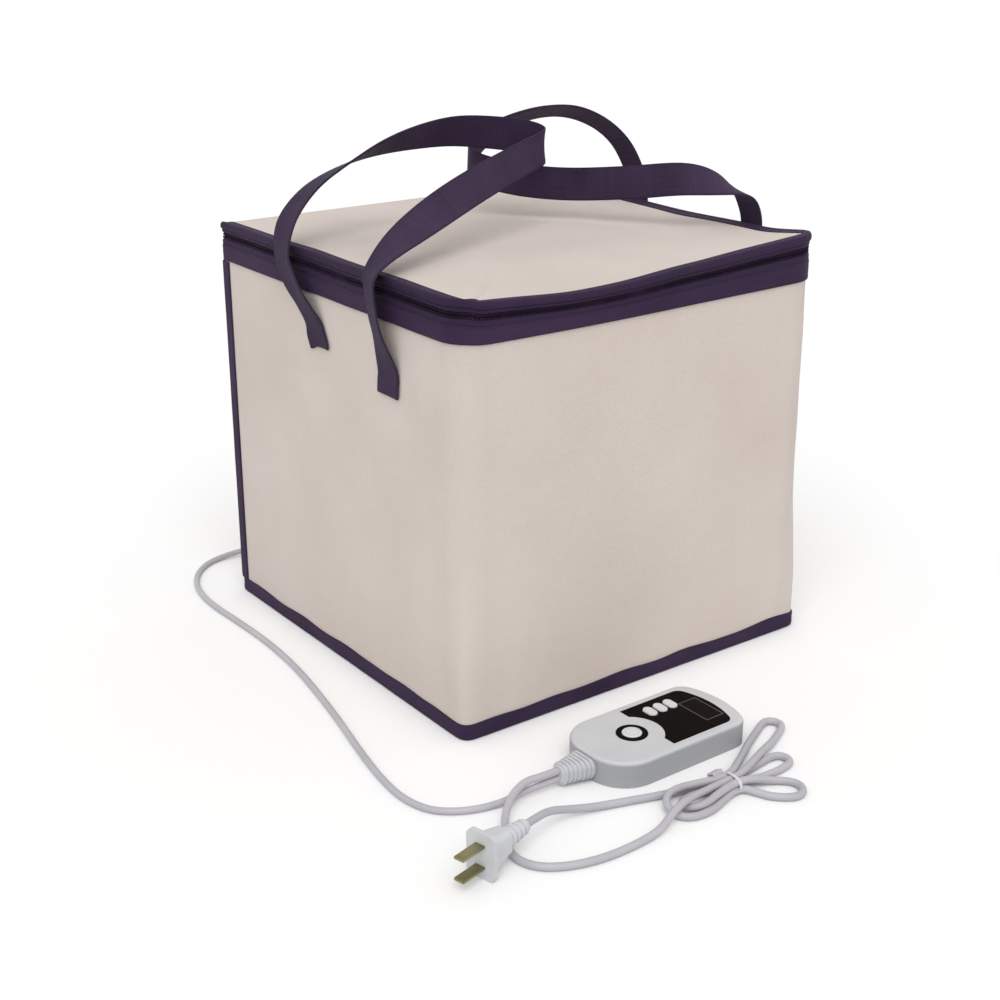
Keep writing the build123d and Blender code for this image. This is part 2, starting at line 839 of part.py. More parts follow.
def make_top_shell():
    ceiling = case_height - case_wall
    ring_floor = case_height - power_ring_thick
    with BuildPart() as controller_top:
        with BuildSketch(case_level(case_split)):
            add(case_outline(0))
        extrude(amount=case_height - case_split)
        fillet(controller_top.faces().sort_by(Axis.Z)[-1].edges(), case_top_round)
        with BuildSketch(case_level(case_split)):
            add(case_outline(case_wall))
        extrude(amount=ceiling - case_split, mode=Mode.SUBTRACT)
        with BuildSketch(case_level(case_split)):
            with Locations(*screw_places):
                Circle(post_radius)
        extrude(amount=ceiling - case_split)
        with BuildSketch(case_level(case_split)):
            with Locations(*screw_places):
                Circle(screw_radius + snug)
        extrude(amount=screw_bite + 1, mode=Mode.SUBTRACT)
        with BuildSketch(case_level(fascia_floor)):
            add(fascia_outline(fascia_fit))
        extrude(amount=fascia_thick, mode=Mode.SUBTRACT)
        with BuildSketch(case_level(ring_floor)):
            with Locations((power_u, 0)):
                Circle(power_ring_radius + fascia_fit)
        extrude(amount=power_ring_thick, mode=Mode.SUBTRACT)
        with BuildSketch(case_level(ceiling - 1)):
            with Locations((power_u, 0)):
                Circle(power_radius + body_gap)
            oval_openings(body_gap)
            window_opening(0)
        extrude(amount=case_wall + 1, mode=Mode.SUBTRACT)
        relief_cut()
    keep(controller_top, "controller_top")


def make_fascia():
    with BuildPart() as controller_fascia:
        with BuildSketch(case_level(fascia_floor)):
            add(fascia_outline(0))
        extrude(amount=fascia_thick)
        with BuildSketch(case_level(fascia_floor)):
            oval_openings(body_gap)
            window_opening(snug)
        extrude(amount=fascia_thick, mode=Mode.SUBTRACT)
    keep(controller_fascia, "controller_fascia")


def make_display():
    deck = board_height + board_thick
    with BuildPart() as display_window:
        with BuildSketch(case_level(fascia_floor)):
            window_opening(0)
        extrude(amount=fascia_thick)
    keep(display_window, "display_window")
    with BuildPart() as display_module:
        with BuildSketch(case_level(deck)):
            window_opening(-2 * snug)
        extrude(amount=fascia_floor - deck)
    keep(display_module, "display_module")


def make_power_ring():
    with BuildPart() as power_ring:
        with BuildSketch(case_level(case_height - power_ring_thick)):
            with Locations((power_u, 0)):
                Circle(power_ring_radius)
                Circle(power_radius + body_gap, mode=Mode.SUBTRACT)
        extrude(amount=power_ring_thick + power_ring_stand)
    keep(power_ring, "power_ring")


switch_top = case_height - case_wall - body_gap - button_flange - button_travel - body_gap
flange_floor = switch_top + button_travel + body_gap


def make_power_button():
    """A round cap whose flange stays under the case and rests over its switch."""
    with BuildPart() as power_button:
        with BuildSketch(case_level(flange_floor)):
            with Locations((power_u, 0)):
                Circle(power_radius + 1.5)
        extrude(amount=button_flange)
        with BuildSketch(case_level(flange_floor)):
            with Locations((power_u, 0)):
                Circle(power_radius)
        extrude(amount=case_height + button_stand - flange_floor)
        fillet(power_button.faces().sort_by(Axis.Z)[-1].edges(), 0.7)
        with BuildSketch(case_level(case_height + button_stand - power_groove_depth)):
            with Locations((power_u, 0)):
                Circle(power_groove[0])
                Circle(power_groove[1], mode=Mode.SUBTRACT)
        extrude(amount=power_groove_depth, mode=Mode.SUBTRACT)
    keep(power_button, "power_button")


def make_oval_button(u, name):
    long, short = oval_size
    with BuildPart() as oval_button:
        with BuildSketch(case_level(flange_floor)):
            with Locations((u, oval_v)):
                SlotOverall(long + 1.6, short + 1.6, rotation=90)
        extrude(amount=button_flange)
        with BuildSketch(case_level(flange_floor)):
            with Locations((u, oval_v)):
                SlotOverall(long, short, rotation=90)
        extrude(amount=case_height + button_stand - flange_floor)
        fillet(oval_button.faces().sort_by(Axis.Z)[-1].edges(), 0.7)
    keep(oval_button, name)


def make_circuit_board():
    with BuildPart() as circuit_board:
        with BuildSketch(case_level(board_height)):
            with Locations(((board_low_u + board_high_u) / 2, 0)):
                Rectangle(board_high_u - board_low_u, 2 * board_half_width)
        extrude(amount=board_thick)
    keep(circuit_board, "circuit_board")


def make_board_components():
    """The relay, the dropper capacitor and a storage capacitor, one node."""
    deck = board_height + board_thick
    room = case_height - case_wall - deck - 1
    blocks = ((relay_place, relay_size, room), (dropper_place, dropper_size, room - 1))
    with BuildPart() as board_components:
        for (back, v), size, tall in blocks:
            with BuildSketch(case_level(deck)):
                with Locations((case_length - back, v)):
                    Rectangle(*size)
            extrude(amount=tall)
        with BuildSketch(case_level(deck)):
            with Locations((case_length - storage_place[0], storage_place[1])):
                Circle(storage_radius)
        extrude(amount=room - 1)
    keep(board_components, "board_components")


def make_button_switches():
    """One push switch under each button, one node."""
    deck = board_height + board_thick
    places = [(power_u, 0)] + [(case_length - back, oval_v) for back in oval_places]
    with BuildPart() as button_switches:
        with BuildSketch(case_level(deck)):
            with Locations(*places):
                Rectangle(switch_size, switch_size)
        extrude(amount=(switch_top - deck) * 0.7)
        with BuildSketch(case_level(deck)):
            with Locations(*places):
                Circle(1.7)
        extrude(amount=switch_top - deck)
    keep(button_switches, "button_switches")


def make_case_screws():
    head = screw_head_height - screw_sunk
    shank = case_split + screw_bite - screw_sunk
    long, wide, deep = screw_slot
    with BuildPart() as case_screws:
        with BuildSketch(case_level(screw_sunk)):
            with Locations(*screw_places):
                Circle(screw_head_radius)
        extrude(amount=head)
        with BuildSketch(case_level(screw_sunk)):
            with Locations(*screw_places):
                Circle(screw_radius)
        extrude(amount=shank)
        with BuildSketch(case_level(screw_sunk)):
            with Locations(*screw_places):
                Rectangle(long, wide)
                Rectangle(wide, long)
        extrude(amount=deep, mode=Mode.SUBTRACT)
    keep(case_screws, "case_screws")


def relief_plane(u):
    """A plane across the controller's length, on its middle height."""
    place = case_level(case_height / 2).from_local_coords(Vector(u, 0, 0))
    return Plane(origin=place, x_dir=case_plane.y_dir, z_dir=case_plane.x_dir)


def make_controller_relief():
    with BuildPart() as controller_relief:
        for u, size in ((-relief_length, relief_tail), (0, relief_root)):
            with BuildSketch(relief_plane(u)):
                RectangleRounded(*size, min(size) * 0.4)
        loft()
        pitch = relief_length / (relief_ribs + 0.5)
        for rib in range(relief_ribs):
            start = -relief_length + rib * pitch + pitch / 2
            share = 1 + start / relief_length
            stand = 2 * relief_rib_stand
            size = [low + (high - low) * share + stand for low, high in zip(relief_tail, relief_root)]
            with BuildSketch(relief_plane(start)):
                RectangleRounded(*size, min(size) * 0.4)
            extrude(amount=pitch / 2)
        with BuildSketch(relief_plane(0)):
            Rectangle(*relief_neck)
        extrude(amount=case_wall + relief_flange_gap)
        with BuildSketch(relief_plane(case_wall + relief_flange_gap)):
            Rectangle(relief_neck[0] + 3, relief_neck[1] + 3)
        extrude(amount=2)
    keep(controller_relief, "controller_relief")


# ---- cords ----

case_tail = case_plane.from_local_coords(Vector(-relief_length, 0, case_height / 2))
heater_z = heater_cord_diameter / 2 + cord_lift
mains_z = mains_cord_diameter / 2 + cord_lift
heater_exit = case_tail.Z - exit_spacing / 2
mains_exit = case_tail.Z + exit_spacing / 2
out_of_case = case_plane.x_dir * -1
gland_end = rear_face + gland_flange_thick + gland_taper_length
first_run = 11.0


def beyond(start, direction, length, z):
    """A place straight out of an exit."""
    place = start + direction * length
    return (place.X, place.Y, z)


heater_route = [
    (case_tail.X, case_tail.Y, heater_exit),
    beyond(case_tail, out_of_case, first_run, heater_exit),
    (-148, -210.5, 4.3),
    (-161, -210.5, 2.6),
    (-176, -208, heater_z),
    (-190, -202, heater_z),
    (-201, -192, heater_z),
    (-206, -173, heater_z),
    (-64 - right_face, -148, heater_z),
    (-58 - right_face, -116, heater_z),
    (-49 - right_face, -78, heater_z),
    (-41 - right_face, -38, heater_z),
    (-34 - right_face, 4, heater_z),
    (-31 - right_face, 46, heater_z),
    (-32 - right_face, rear_face - 52, heater_z),
    (-34 - right_face, rear_face - 16, heater_z),
    (-31 - right_face, rear_face + 13, heater_z),
    (gland_x - 61, rear_face + 37, heater_z),
    (gland_x - 44, rear_face + 54, heater_z),
    (gland_x - 24, rear_face + 59, 2.6),
    (gland_x - 7, rear_face + 53, 5.6),
    (gland_x, gland_end + first_run, gland_z),
    (gland_x, gland_end, gland_z),
]

plug_line = Vector(cos(radians(plug_turn)), sin(radians(plug_turn)), 0)
plug_tail = Vector(plug_x, plug_y, plug_axis_height)

controller_side_route = [
    (case_tail.X, case_tail.Y, mains_exit),
    beyond(case_tail, out_of_case, first_run, mains_exit),
    (-147, -210, 10.2),
    (-159, -214, 8.6),
    (-170, -222, 5.4),
    (-179, -233, 3.0),
    (-187, -245, mains_z),
    (-191, -259, mains_z),
    (-186, -272, mains_z),
    (-172, -281, mains_z),
    (-152, -286, mains_z),
    (-129, -286, mains_z),
    (-108, -281, mains_z),
    (-90, -275, mains_z),
]

plug_side_route = [
    (plug_tail.X, plug_tail.Y, plug_axis_height),
    beyond(plug_tail, plug_line * -1, first_run, plug_axis_height),
    (-155, -243, 10.6),
    (-141, -242, 5.6),
    (-125, -245, 2.8),
    (-107, -250, mains_z),
    (-91, -257, mains_z),
    (-79, -267, mains_z),
]


def bend_radii(points):
    """Each corner's largest arc: 0.45 of its shorter run over the tangent of half its turn."""
    places = [Vector(*point) for point in points]
    radii = []
    for before, corner, after in zip(places, places[1:], places[2:]):
        turn = radians((corner - before).get_angle(after - corner))
        run = min((corner - before).length, (after - corner).length)
        radii.append(0.45 * run / tan(turn / 2))
    return radii


def make_cord(points, diameter, name):
    radii = bend_radii(points)
    with BuildPart() as cord:
        with BuildLine() as route:
            FilletPolyline(*points, radius=radii)
        with BuildSketch(Plane(route.line @ 0, z_dir=route.line % 0)):
            Circle(diameter / 2)
        sweep(path=route.line)
    keep(cord, name)
    length = sum(edge.length for edge in route.edges())
    ratio = cord.part.volume / (pi * diameter**2 / 4 * length)
    print(f"{name}: {length:.0f} mm long, volume / (section x length) = {ratio:.4f}")
    print("  bend radii in diameters:", " ".join(f"{radius / diameter:.1f}" for radius in radii))


def tie_section(outer):
    """The tie's outside, or the pinched bundle inside it, as a size and a middle height."""
    shrink = 0 if outer else tie_thick
    wide = 2 * hank_tie_radius + tie_thick * 2 - 2 * shrink
    tall = hank_height + tie_thick - 2 * shrink
    return wide, tall, tall / 2 + shrink


def add_tie():
    """A flat tie round the bundle."""
    x, y = hank_tie_place
    with BuildPart(mode=Mode.PRIVATE) as tie:
        for outer, mode in ((True, Mode.ADD), (False, Mode.SUBTRACT)):
            wide, tall, middle = tie_section(outer)
            with BuildSketch(Plane.YZ.offset(x - tie_width / 2)):
                with Locations((y, middle)):
                    Rectangle(wide, tall)
            extrude(amount=tie_width, mode=mode)
    return tie.part


def make_hank():
    """The tied cord: three loose loops one side of the tie, the returning bends on the other."""
    x, y = hank_tie_place
    with BuildPart() as mains_hank:
        for lobe_x, lobe_y, lobe_radius in hank_lobes:
            with BuildSketch():
                with BuildLine():
                    CenterArc((x, y), hank_tie_radius, 0, 360)
                    CenterArc((lobe_x, lobe_y), lobe_radius, 0, 360)
                make_hull()
            extrude(amount=hank_height)
        add(add_tie(), mode=Mode.SUBTRACT)
    keep(mains_hank, "mains_hank")
    with BuildPart() as hank_tie:
        add(add_tie())
    keep(hank_tie, "hank_tie")


# ---- plug ----


def plug_plane(reach):
    """A plane across the plug, on its axis; its y runs up, along the line between the blades."""
    level = Vector(0, 0, 1).cross(plug_line)
    return Plane(origin=plug_tail + plug_line * reach, x_dir=level, z_dir=plug_line)


def make_plug():
    body_start = plug_relief_length
    flange_start = body_start + plug_body_length
    face = flange_start + plug_flange_thick
    with BuildPart() as plug_relief:
        for reach, radius in zip((0.0, plug_relief_length), plug_relief_radii):
            with BuildSketch(plug_plane(reach)):
                Circle(radius)
        loft()
        for rib in range(4):
            start = 2.0 + rib * 4.0
            share = start / plug_relief_length
            radius = plug_relief_radii[0] + (plug_relief_radii[1] - plug_relief_radii[0]) * share
            with BuildSketch(plug_plane(start)):
                Circle(radius + 0.7)
            extrude(amount=2.0)
    keep(plug_relief, "plug_relief")
    with BuildPart() as plug_body:
        with BuildSketch(plug_plane(body_start)):
            RectangleRounded(plug_grip[0] - 3, plug_grip[1] - 5, 4)
        with BuildSketch(plug_plane(flange_start)):
            RectangleRounded(*plug_grip, 3)
        loft()
        with BuildSketch(plug_plane(flange_start)):
            RectangleRounded(*plug_flange, 4)
        extrude(amount=plug_flange_thick)
        with BuildSketch(plug_plane(face)):
            for side in (-1, 1):
                with Locations((0, side * blade_spacing / 2)):
                    Rectangle(blade[0], blade[1])
        extrude(amount=-blade_root, mode=Mode.SUBTRACT)
    keep(plug_body, "plug_body")
    with BuildPart() as plug_blades:
        with BuildSketch(plug_plane(face - blade_root)):
            for side in (-1, 1):
                with Locations((0, side * blade_spacing / 2)):
                    Rectangle(blade[0], blade[1])
        extrude(amount=blade_root + blade_length)
    keep(plug_blades, "plug_blades")


make_floor_layers()
make_base_foam()
make_heater_felt()
make_heating_wire()
make_thermal_cutoff()
make_terminal_block()
make_temperature_probe()
make_bottom_binding()
make_wall_cloth()
make_rear_cloth()
make_corner_bindings()
make_front_foam()
make_side_foam(-1, "left_foam")
make_side_foam(1, "right_foam")
make_rear_foam()
make_wall_lining()
make_cord_gland()
make_rim_band()
make_lower_tape()
make_coil("lower_zip_coil", lower_coil_top, rear_face - cloth)
make_hinge_strip()
make_lid_layers()
make_lid_piping()
make_upper_tape()
make_coil("upper_zip_coil", upper_coil_top, rear_face - hinge_setback)
make_zip_slider()
make_zip_pull()
make_strap_legs(-1, left_ends, "left_strap_ends")
make_strap_legs(1, right_ends, "right_strap_ends")
make_strap_loop(left_loop, "left_strap_loop")
make_strap_loop(right_loop, "right_strap_loop")
make_bottom_shell()
make_top_shell()
make_fascia()
make_display()
make_power_ring()
make_power_button()
for back, label in zip(oval_places, ("lower_button", "raise_button", "timer_button")):
    make_oval_button(case_length - back, label)
make_circuit_board()
make_board_components()
make_button_switches()
make_case_screws()
make_controller_relief()
make_cord(heater_route, heater_cord_diameter, "heater_cord")
make_cord(controller_side_route, mains_cord_diameter, "mains_cord_controller_side")
make_cord(plug_side_route, mains_cord_diameter, "mains_cord_plug_side")
make_hank()
make_plug()
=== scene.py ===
# %% [markdown]
# # A folding dough proofer
# A soft square bag keeps bread dough warm. Foam boards stand in its walls, a heated mat lies in its floor, a zipped
# lid closes it, and a small table controller lies in front on its own lead. The solid model of every piece is
# loaded first as a fixed frame: the hard pieces are dressed where they stand, and each soft piece is made again
# here, because cloth needs bulges, seams and folds that a plain solid doesn't have.

# %% The frame
import math
import bpy
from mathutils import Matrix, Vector, noise


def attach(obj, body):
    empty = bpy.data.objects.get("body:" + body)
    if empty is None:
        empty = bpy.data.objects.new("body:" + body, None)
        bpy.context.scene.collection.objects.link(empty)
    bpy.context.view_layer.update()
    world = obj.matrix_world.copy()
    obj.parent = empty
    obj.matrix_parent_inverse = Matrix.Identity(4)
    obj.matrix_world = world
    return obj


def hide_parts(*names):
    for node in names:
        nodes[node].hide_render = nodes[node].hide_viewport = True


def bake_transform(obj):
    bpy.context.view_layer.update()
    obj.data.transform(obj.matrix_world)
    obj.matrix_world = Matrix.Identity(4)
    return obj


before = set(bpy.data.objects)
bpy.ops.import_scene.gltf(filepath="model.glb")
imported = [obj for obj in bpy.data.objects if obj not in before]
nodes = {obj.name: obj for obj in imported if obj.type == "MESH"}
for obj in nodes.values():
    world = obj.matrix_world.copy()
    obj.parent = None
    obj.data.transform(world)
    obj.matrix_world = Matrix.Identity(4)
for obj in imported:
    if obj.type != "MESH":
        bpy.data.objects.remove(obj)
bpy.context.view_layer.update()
MM = 0.001

# %% [markdown]
# ## Picking pieces by hand and in code
# An operator acts on everything that is selected, as a click on a button does. So each step first drops the whole
# selection, then takes the one piece that it works on.

# %% Selection helpers
def drop_selection():
    bpy.ops.object.select_all(action="DESELECT")


def take(piece):
    drop_selection()
    piece.select_set(True)
    bpy.context.view_layer.objects.active = piece
    return piece


def set_modifiers(piece):
    """Every modifier on the piece becomes its mesh."""
    take(piece)
    for modifier in list(piece.modifiers):
        bpy.ops.object.modifier_apply(modifier=modifier.name)
    return piece


def name_it(name):
    """Names the piece that the last operator added."""
    piece = bpy.context.object
    piece.name = piece.data.name = name
    return piece


def edit(piece, pick="VERT"):
    """Into edit mode with the whole mesh selected. The kind of picking is always set, as Blender keeps the last."""
    take(piece)
    bpy.ops.object.mode_set(mode="EDIT")
    bpy.ops.mesh.select_mode(type=pick)
    bpy.ops.mesh.select_all(action="SELECT")


def stop_edit():
    bpy.ops.object.mode_set(mode="OBJECT")


def push(x, y, z):
    """Extrudes what is selected by a move in mm."""
    bpy.ops.mesh.extrude_region_move(TRANSFORM_OT_translate={"value": (x * MM, y * MM, z * MM)})


def pick_faces(piece, wanted):
    """Into edit mode with only the faces selected whose middle, in mm, is wanted."""
    edit(piece, "FACE")
    bpy.ops.mesh.select_all(action="DESELECT")
    stop_edit()
    for face in piece.data.polygons:
        face.select = wanted(face.center / MM)
    bpy.ops.object.mode_set(mode="EDIT")


# %% [markdown]
# ## What rides where
# On the real bag the lid turns at the rear edge of the rim, the straps swing, and the rim is pushed down to fold the
# bag; here no piece is set to move. A piece rides on the body that carries it. The walls reach from the base to the
# rim. Each piece also names the solids that it stands for, which are hidden.

# %% Carrying helpers
wall_foot, wall_top = 0.012, 0.244


def settle(piece, body, material, *solids):
    """The piece rides on one body."""
    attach(piece, body)
    if solids:
        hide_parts(*solids)


def sink(piece, material, *solids, foot=wall_foot):
    """The piece keeps its place, with its transform set in its mesh, and the solids that it stands for are hidden."""
    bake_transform(piece)
    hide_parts(*solids)


# %% [markdown]
# ## The camera
# A long lens well above the table looks down on the bag's left front corner. The camera is placed by numbers: its
# place, and the way it looks back along, which fixes both of its angles with no roll.

# %% Camera
back_azimuth, back_elevation = math.radians(-36.2632), math.radians(21.0106)
look_back = Vector((
    math.sin(back_azimuth) * math.cos(back_elevation),
    -math.cos(back_azimuth) * math.cos(back_elevation),
    math.sin(back_elevation),
))
drop_selection()
bpy.ops.object.camera_add(location=(-0.62058, -0.83086, 0.47911))
camera = bpy.context.object
camera.rotation_mode = "QUATERNION"
camera.rotation_quaternion = (-look_back).to_track_quat("-Z", "Y")
camera.data.lens, camera.data.sensor_width = 57.47, 36.0
camera.data.clip_start, camera.data.clip_end = 0.01, 60
bpy.context.scene.camera = camera
print("camera", [round(x, 3) for x in camera.location])

# %% [markdown]
# ## The leads
# A lead is one length of something bendy, so it is one spline. Its control points are listed in the order
# that a finger would follow: straight out of the strain relief, down to the table, then along it in loose curves.
# A curve passes inside each corner of its control points, which gives the slack bends of a real lead. The order is
# set after the points, because a new spline has too few points for it.

# %% Lead helper
def lay_lead(name, places, diameter):
    line = bpy.data.curves.new(name, "CURVE")
    line.dimensions = "3D"
    spline = line.splines.new("NURBS")
    spline.points.add(len(places) - 1)
    for point, place in zip(spline.points, places):
        point.co = (*[x * MM for x in place], 1)
        point.radius = MM
    spline.order_u = 3
    spline.use_endpoint_u = True
    line.resolution_u = 10
    line.bevel_depth = diameter / 2  # in mm, because each point's radius of 0.001 scales it
    line.bevel_resolution = 5
    line.use_fill_caps = True
    lead = bpy.data.objects.new(name, line)
    bpy.context.scene.collection.objects.link(lead)
    print(name, "length", round(spline.calc_length(), 4))
    return lead


# %% Heater lead, from the controller round the left side to the gland at the rear
heater_places = [
    (-125.999, -212.209, 5.5), (-136.998, -212.325, 5.5), (-148, -210.5, 4.3), (-161, -210.5, 2.6),
    (-176, -208, 2.05), (-190, -202, 2.05), (-201, -192, 2.05), (-206, -173, 2.05), (-204, -148, 2.05),
    (-198, -116, 2.05), (-189, -78, 2.05), (-181, -38, 2.05), (-174, 4, 2.05), (-171, 46, 2.05), (-172, 88, 2.05),
    (-174, 124, 2.05), (-171, 153, 2.05), (-161, 177, 2.05), (-144, 194, 2.05), (-124, 199, 2.6),
    (-107, 193, 5.6), (-100, 178, 9.5), (-100, 167, 9.5),
]
heater_lead = lay_lead("heater_lead", heater_places, 4.0)
settle(heater_lead, "base", "white_cord", "heater_cord")

# %% [markdown]
# The mains lead goes under its own plug, then into a hank: three loops stand out on one side of a tie, and two
# tighter bends come back on the other. Six strands pass through the tie in two layers. Each pass and each loop gets
# its own points, and a strand that crosses another rises over it and comes down again.

# %% Mains lead with its hank
mains_places = [
    # out of the controller, down, and round under the plug
    (-125.999, -212.209, 10.5), (-136.998, -212.325, 10.5), (-147, -210, 10.2), (-159, -214, 8.6),
    (-170, -222, 5.4), (-179, -233, 3.0), (-187, -245, 2.3), (-191, -259, 2.3), (-186, -272, 2.3), (-172, -281, 2.3),
    (-152, -286, 2.3), (-129, -286, 2.3),
    # up over the returning bends, and through the tie
    (-112, -284, 2.8), (-102, -281, 6.4), (-94, -278.5, 8.3), (-84, -276, 8.5), (-68, -274.5, 7.9),
    (-55, -273.8, 7.7), (-44, -273.4, 7.7),
    # the far loop
    (-33, -270, 7.5), (-20, -264, 7.0), (-6, -257, 4.6), (5, -252, 2.8), (13, -248, 2.3),
    (25.2, -241.3, 2.3), (26.7, -236.4, 2.3), (24.3, -231.8, 2.3), (19.4, -230.3, 2.3),
    (7, -236.9, 2.3), (-8, -245, 2.7), (-22, -254.5, 4.4), (-34, -262.5, 6.9), (-44, -268.8, 7.7),
    # back through the tie, and the outer bend
    (-55, -269.4, 7.7), (-67, -266.2, 7.7), (-79, -262.6, 7.3), (-88.4, -263.0, 6.4), (-94.5, -269.1, 4.4),
    (-94.5, -277.9, 2.6), (-88.4, -284.4, 2.3), (-76, -285.6, 2.3), (-64, -282, 2.6), (-54, -278.8, 3.1),
    # the near loop
    (-45.5, -279, 3.1), (-41.8, -286, 2.5), (-37.8, -294.9, 2.3), (-27.7, -303.1, 2.3), (-20.5, -302.3, 2.3),
    (-15.9, -296.7, 2.3), (-16.7, -289.5, 2.3), (-26, -281.9, 2.5), (-36, -279.2, 5.2), (-45, -278.2, 7.7),
    # back through the tie, and the inner bend
    (-56, -278.6, 7.7), (-66, -280.4, 7.2), (-74, -281.4, 5.6), (-80.9, -281, 4.7), (-85.2, -277.4, 3.4),
    (-85.0, -271.6, 2.6), (-80.5, -267.6, 2.3), (-70, -267, 2.3), (-60, -270.8, 2.6), (-52, -273.8, 3.1),
    # the middle loop
    (-43, -274.2, 3.1), (-34, -275.6, 2.6), (-20, -277, 2.3), (-3.7, -275.5, 2.3), (0, -271.2, 2.3),
    (-0.5, -265.7, 2.3), (-5.5, -262.8, 2.3), (-20, -264.6, 2.3), (-34, -267, 2.6), (-45, -269.2, 3.1),
    # back through the tie and under the bends to the plug
    (-57, -266.2, 2.6), (-70, -261.4, 2.3), (-82, -258, 2.3), (-94, -254.4, 2.3), (-107, -250, 2.3),
    (-125, -245, 2.8), (-141, -242, 5.6), (-155, -243, 10.6), (-167.346, -247.264, 13.5), (-178, -250, 13.5),
]
mains_lead = lay_lead("mains_lead", mains_places, 4.5)
settle(mains_lead, "base", "white_cord", "mains_cord_controller_side", "mains_hank", "mains_cord_plug_side")

# %% [markdown]
# ## Sheets of cloth
# Nearly all of this bag is flat stuff that follows a line: panels, bindings, tapes and straps. Each one starts as a
# grid, which already has even squares and a flat map of them, and each point of the grid is carried to its place.
# The map is written in metres, so a weave keeps one size on all the pieces.

# %% Cutting a sheet
def cut_sheet(name, columns, rows, size, place):
    """A grid carried to place(column, row); size is its real width and length in mm."""
    drop_selection()
    bpy.ops.mesh.primitive_grid_add(x_subdivisions=columns, y_subdivisions=rows, size=1)
    sheet = name_it(name)
    shares = [(point.co.x + 0.5, point.co.y + 0.5) for point in sheet.data.vertices]
    chart = sheet.data.uv_layers.active.data
    for loop in sheet.data.loops:
        across, along = shares[loop.vertex_index]
        chart[loop.index].uv = (across * size[0] * MM, along * size[1] * MM)
    for point, (across, along) in zip(sheet.data.vertices, shares):
        point.co = Vector(place(round(across * columns), round(along * rows))) * MM
    bpy.ops.object.shade_smooth()
    return sheet


def lay_square(name, reach, count, place):
    """A square sheet round the bag's middle, reach mm to each side, carried to place(x, y)."""
    def spot(column, row):
        return place(reach * (2 * column / count - 1), reach * (2 * row / count - 1))

    return cut_sheet(name, count, count, (2 * reach, 2 * reach), spot)


def pull_in(x, y, reach, corner):
    """A place in a square of half width reach, with its two front corners rounded off to the radius corner."""
    spare = math.hypot(max(0, abs(x) - reach + corner), max(0, corner - reach - y)) - corner
    pull = 1 - max(0.0, spare) / math.hypot(x, y) if x or y else 1.0
    return x * pull, y * pull


def thicken(sheet, thickness, offset=-1.0, rounds=1):
    """Gives a sheet its thickness in mm, inwards unless offset is 0, rounds it off and sets both in its mesh."""
    wall = sheet.modifiers.new("thickness", "SOLIDIFY")
    wall.thickness, wall.offset = thickness * MM, offset
    if rounds:
        soft = sheet.modifiers.new("soft edges", "SUBSURF")
        soft.levels = soft.render_levels = rounds
    return set_modifiers(sheet)


def ripple(x, y, z, size):
    """A slow unevenness from -1 to 1, the same on every run; size is in mm."""
    return noise.noise(Vector((x, y, z)) / size)


def ramp(value, start, end):
    """0 before start, 1 past end, and an even slope between; end may be the lower one."""
    return min(1.0, max(0.0, (value - start) / (end - start)))


def smooth_step(value, start, end):
    """A ramp that begins and ends flat."""
    share = ramp(value, start, end)
    return share * share * (3 - 2 * share)


def bump(value, middle, width):
    """1 at the middle and almost 0 at two widths from it."""
    return math.exp(-((value - middle) / width) ** 2)


def long_way(places):
    """The length of a profile or a route."""
    return sum(math.dist(a, b) for a, b in zip(places, places[1:]))


def off_middle(x, y):
    """Half the width of the square round the bag's middle that passes through a place, in mm."""
    return max(abs(x), abs(y))


# %% [markdown]
# ## The line round the bag
# Walls, bindings, tapes and piping all follow the same line, further out or further in. It is written once, as
# stations with a place and an outward direction, closer together in the corners where the sheet has to turn.

# %% The line
class Line:
    """A walk in plan through corners (x, y, radius), in mm, with the outside on its right."""

    def __init__(self, corners, step=6.0):
        self.stations = []
        count = len(corners)
        for index, (x, y, radius) in enumerate(corners):
            here = Vector((x, y))
            if 0 < index < count - 1 and radius > 0:
                before = (here - Vector(corners[index - 1][:2])).normalized()
                after = (Vector(corners[index + 1][:2]) - here).normalized()
                inner = here - before * radius + after * radius
                turns = max(3, round(radius / 2))
                for turn in range(turns + 1):
                    angle = math.pi / 2 * turn / turns
                    out = (after * -math.cos(angle) + before * math.sin(angle))
                    self.reach(inner + out * radius, out, step)
            else:
                far = Vector(corners[1][:2]) if index == 0 else here
                near = here if index == 0 else Vector(corners[index - 1][:2])
                along = (far - near).normalized()
                self.reach(here, Vector((along.y, -along.x)), step)
        self.runs = [0.0]
        for a, b in zip(self.stations, self.stations[1:]):
            self.runs.append(self.runs[-1] + (b[0] - a[0]).length)
        self.length = self.runs[-1]

    def reach(self, place, out, step):
        if self.stations:
            last, last_out = self.stations[-1]
            gap = (place - last).length
            for part in range(1, int(gap / step)):
                share = part / int(gap / step)
                self.stations.append((last.lerp(place, share), last_out.lerp(out, share).normalized()))
        self.stations.append((place, out))


half, front_corner, lid_level = 140.0, 20.0, 262.0
rear_end, lid_end = 139, 139.2  # how far back the sides run
cord_x, cord_z, cord_room = -100, 9.5, 9.5  # where the heater lead comes through the rear, and the gap left for it
front_corners = [(-half, -half, front_corner), (half, -half, front_corner)]
three_sides = Line([(-half, rear_end, 0), *front_corners, (half, rear_end, 0)])
lid_sides = Line([(-half, lid_end, 0), *front_corners, (half, lid_end, 0)])
rear_side = Line([(rear_end, half, 0), (-rear_end, half, 0)])
foot_line = Line([
    (cord_x - cord_room, half, 0), (-half, half, 3), *front_corners, (half, half, 3), (cord_x + cord_room, half, 0),
])
print("three sides", round(three_sides.length), "foot", round(foot_line.length))


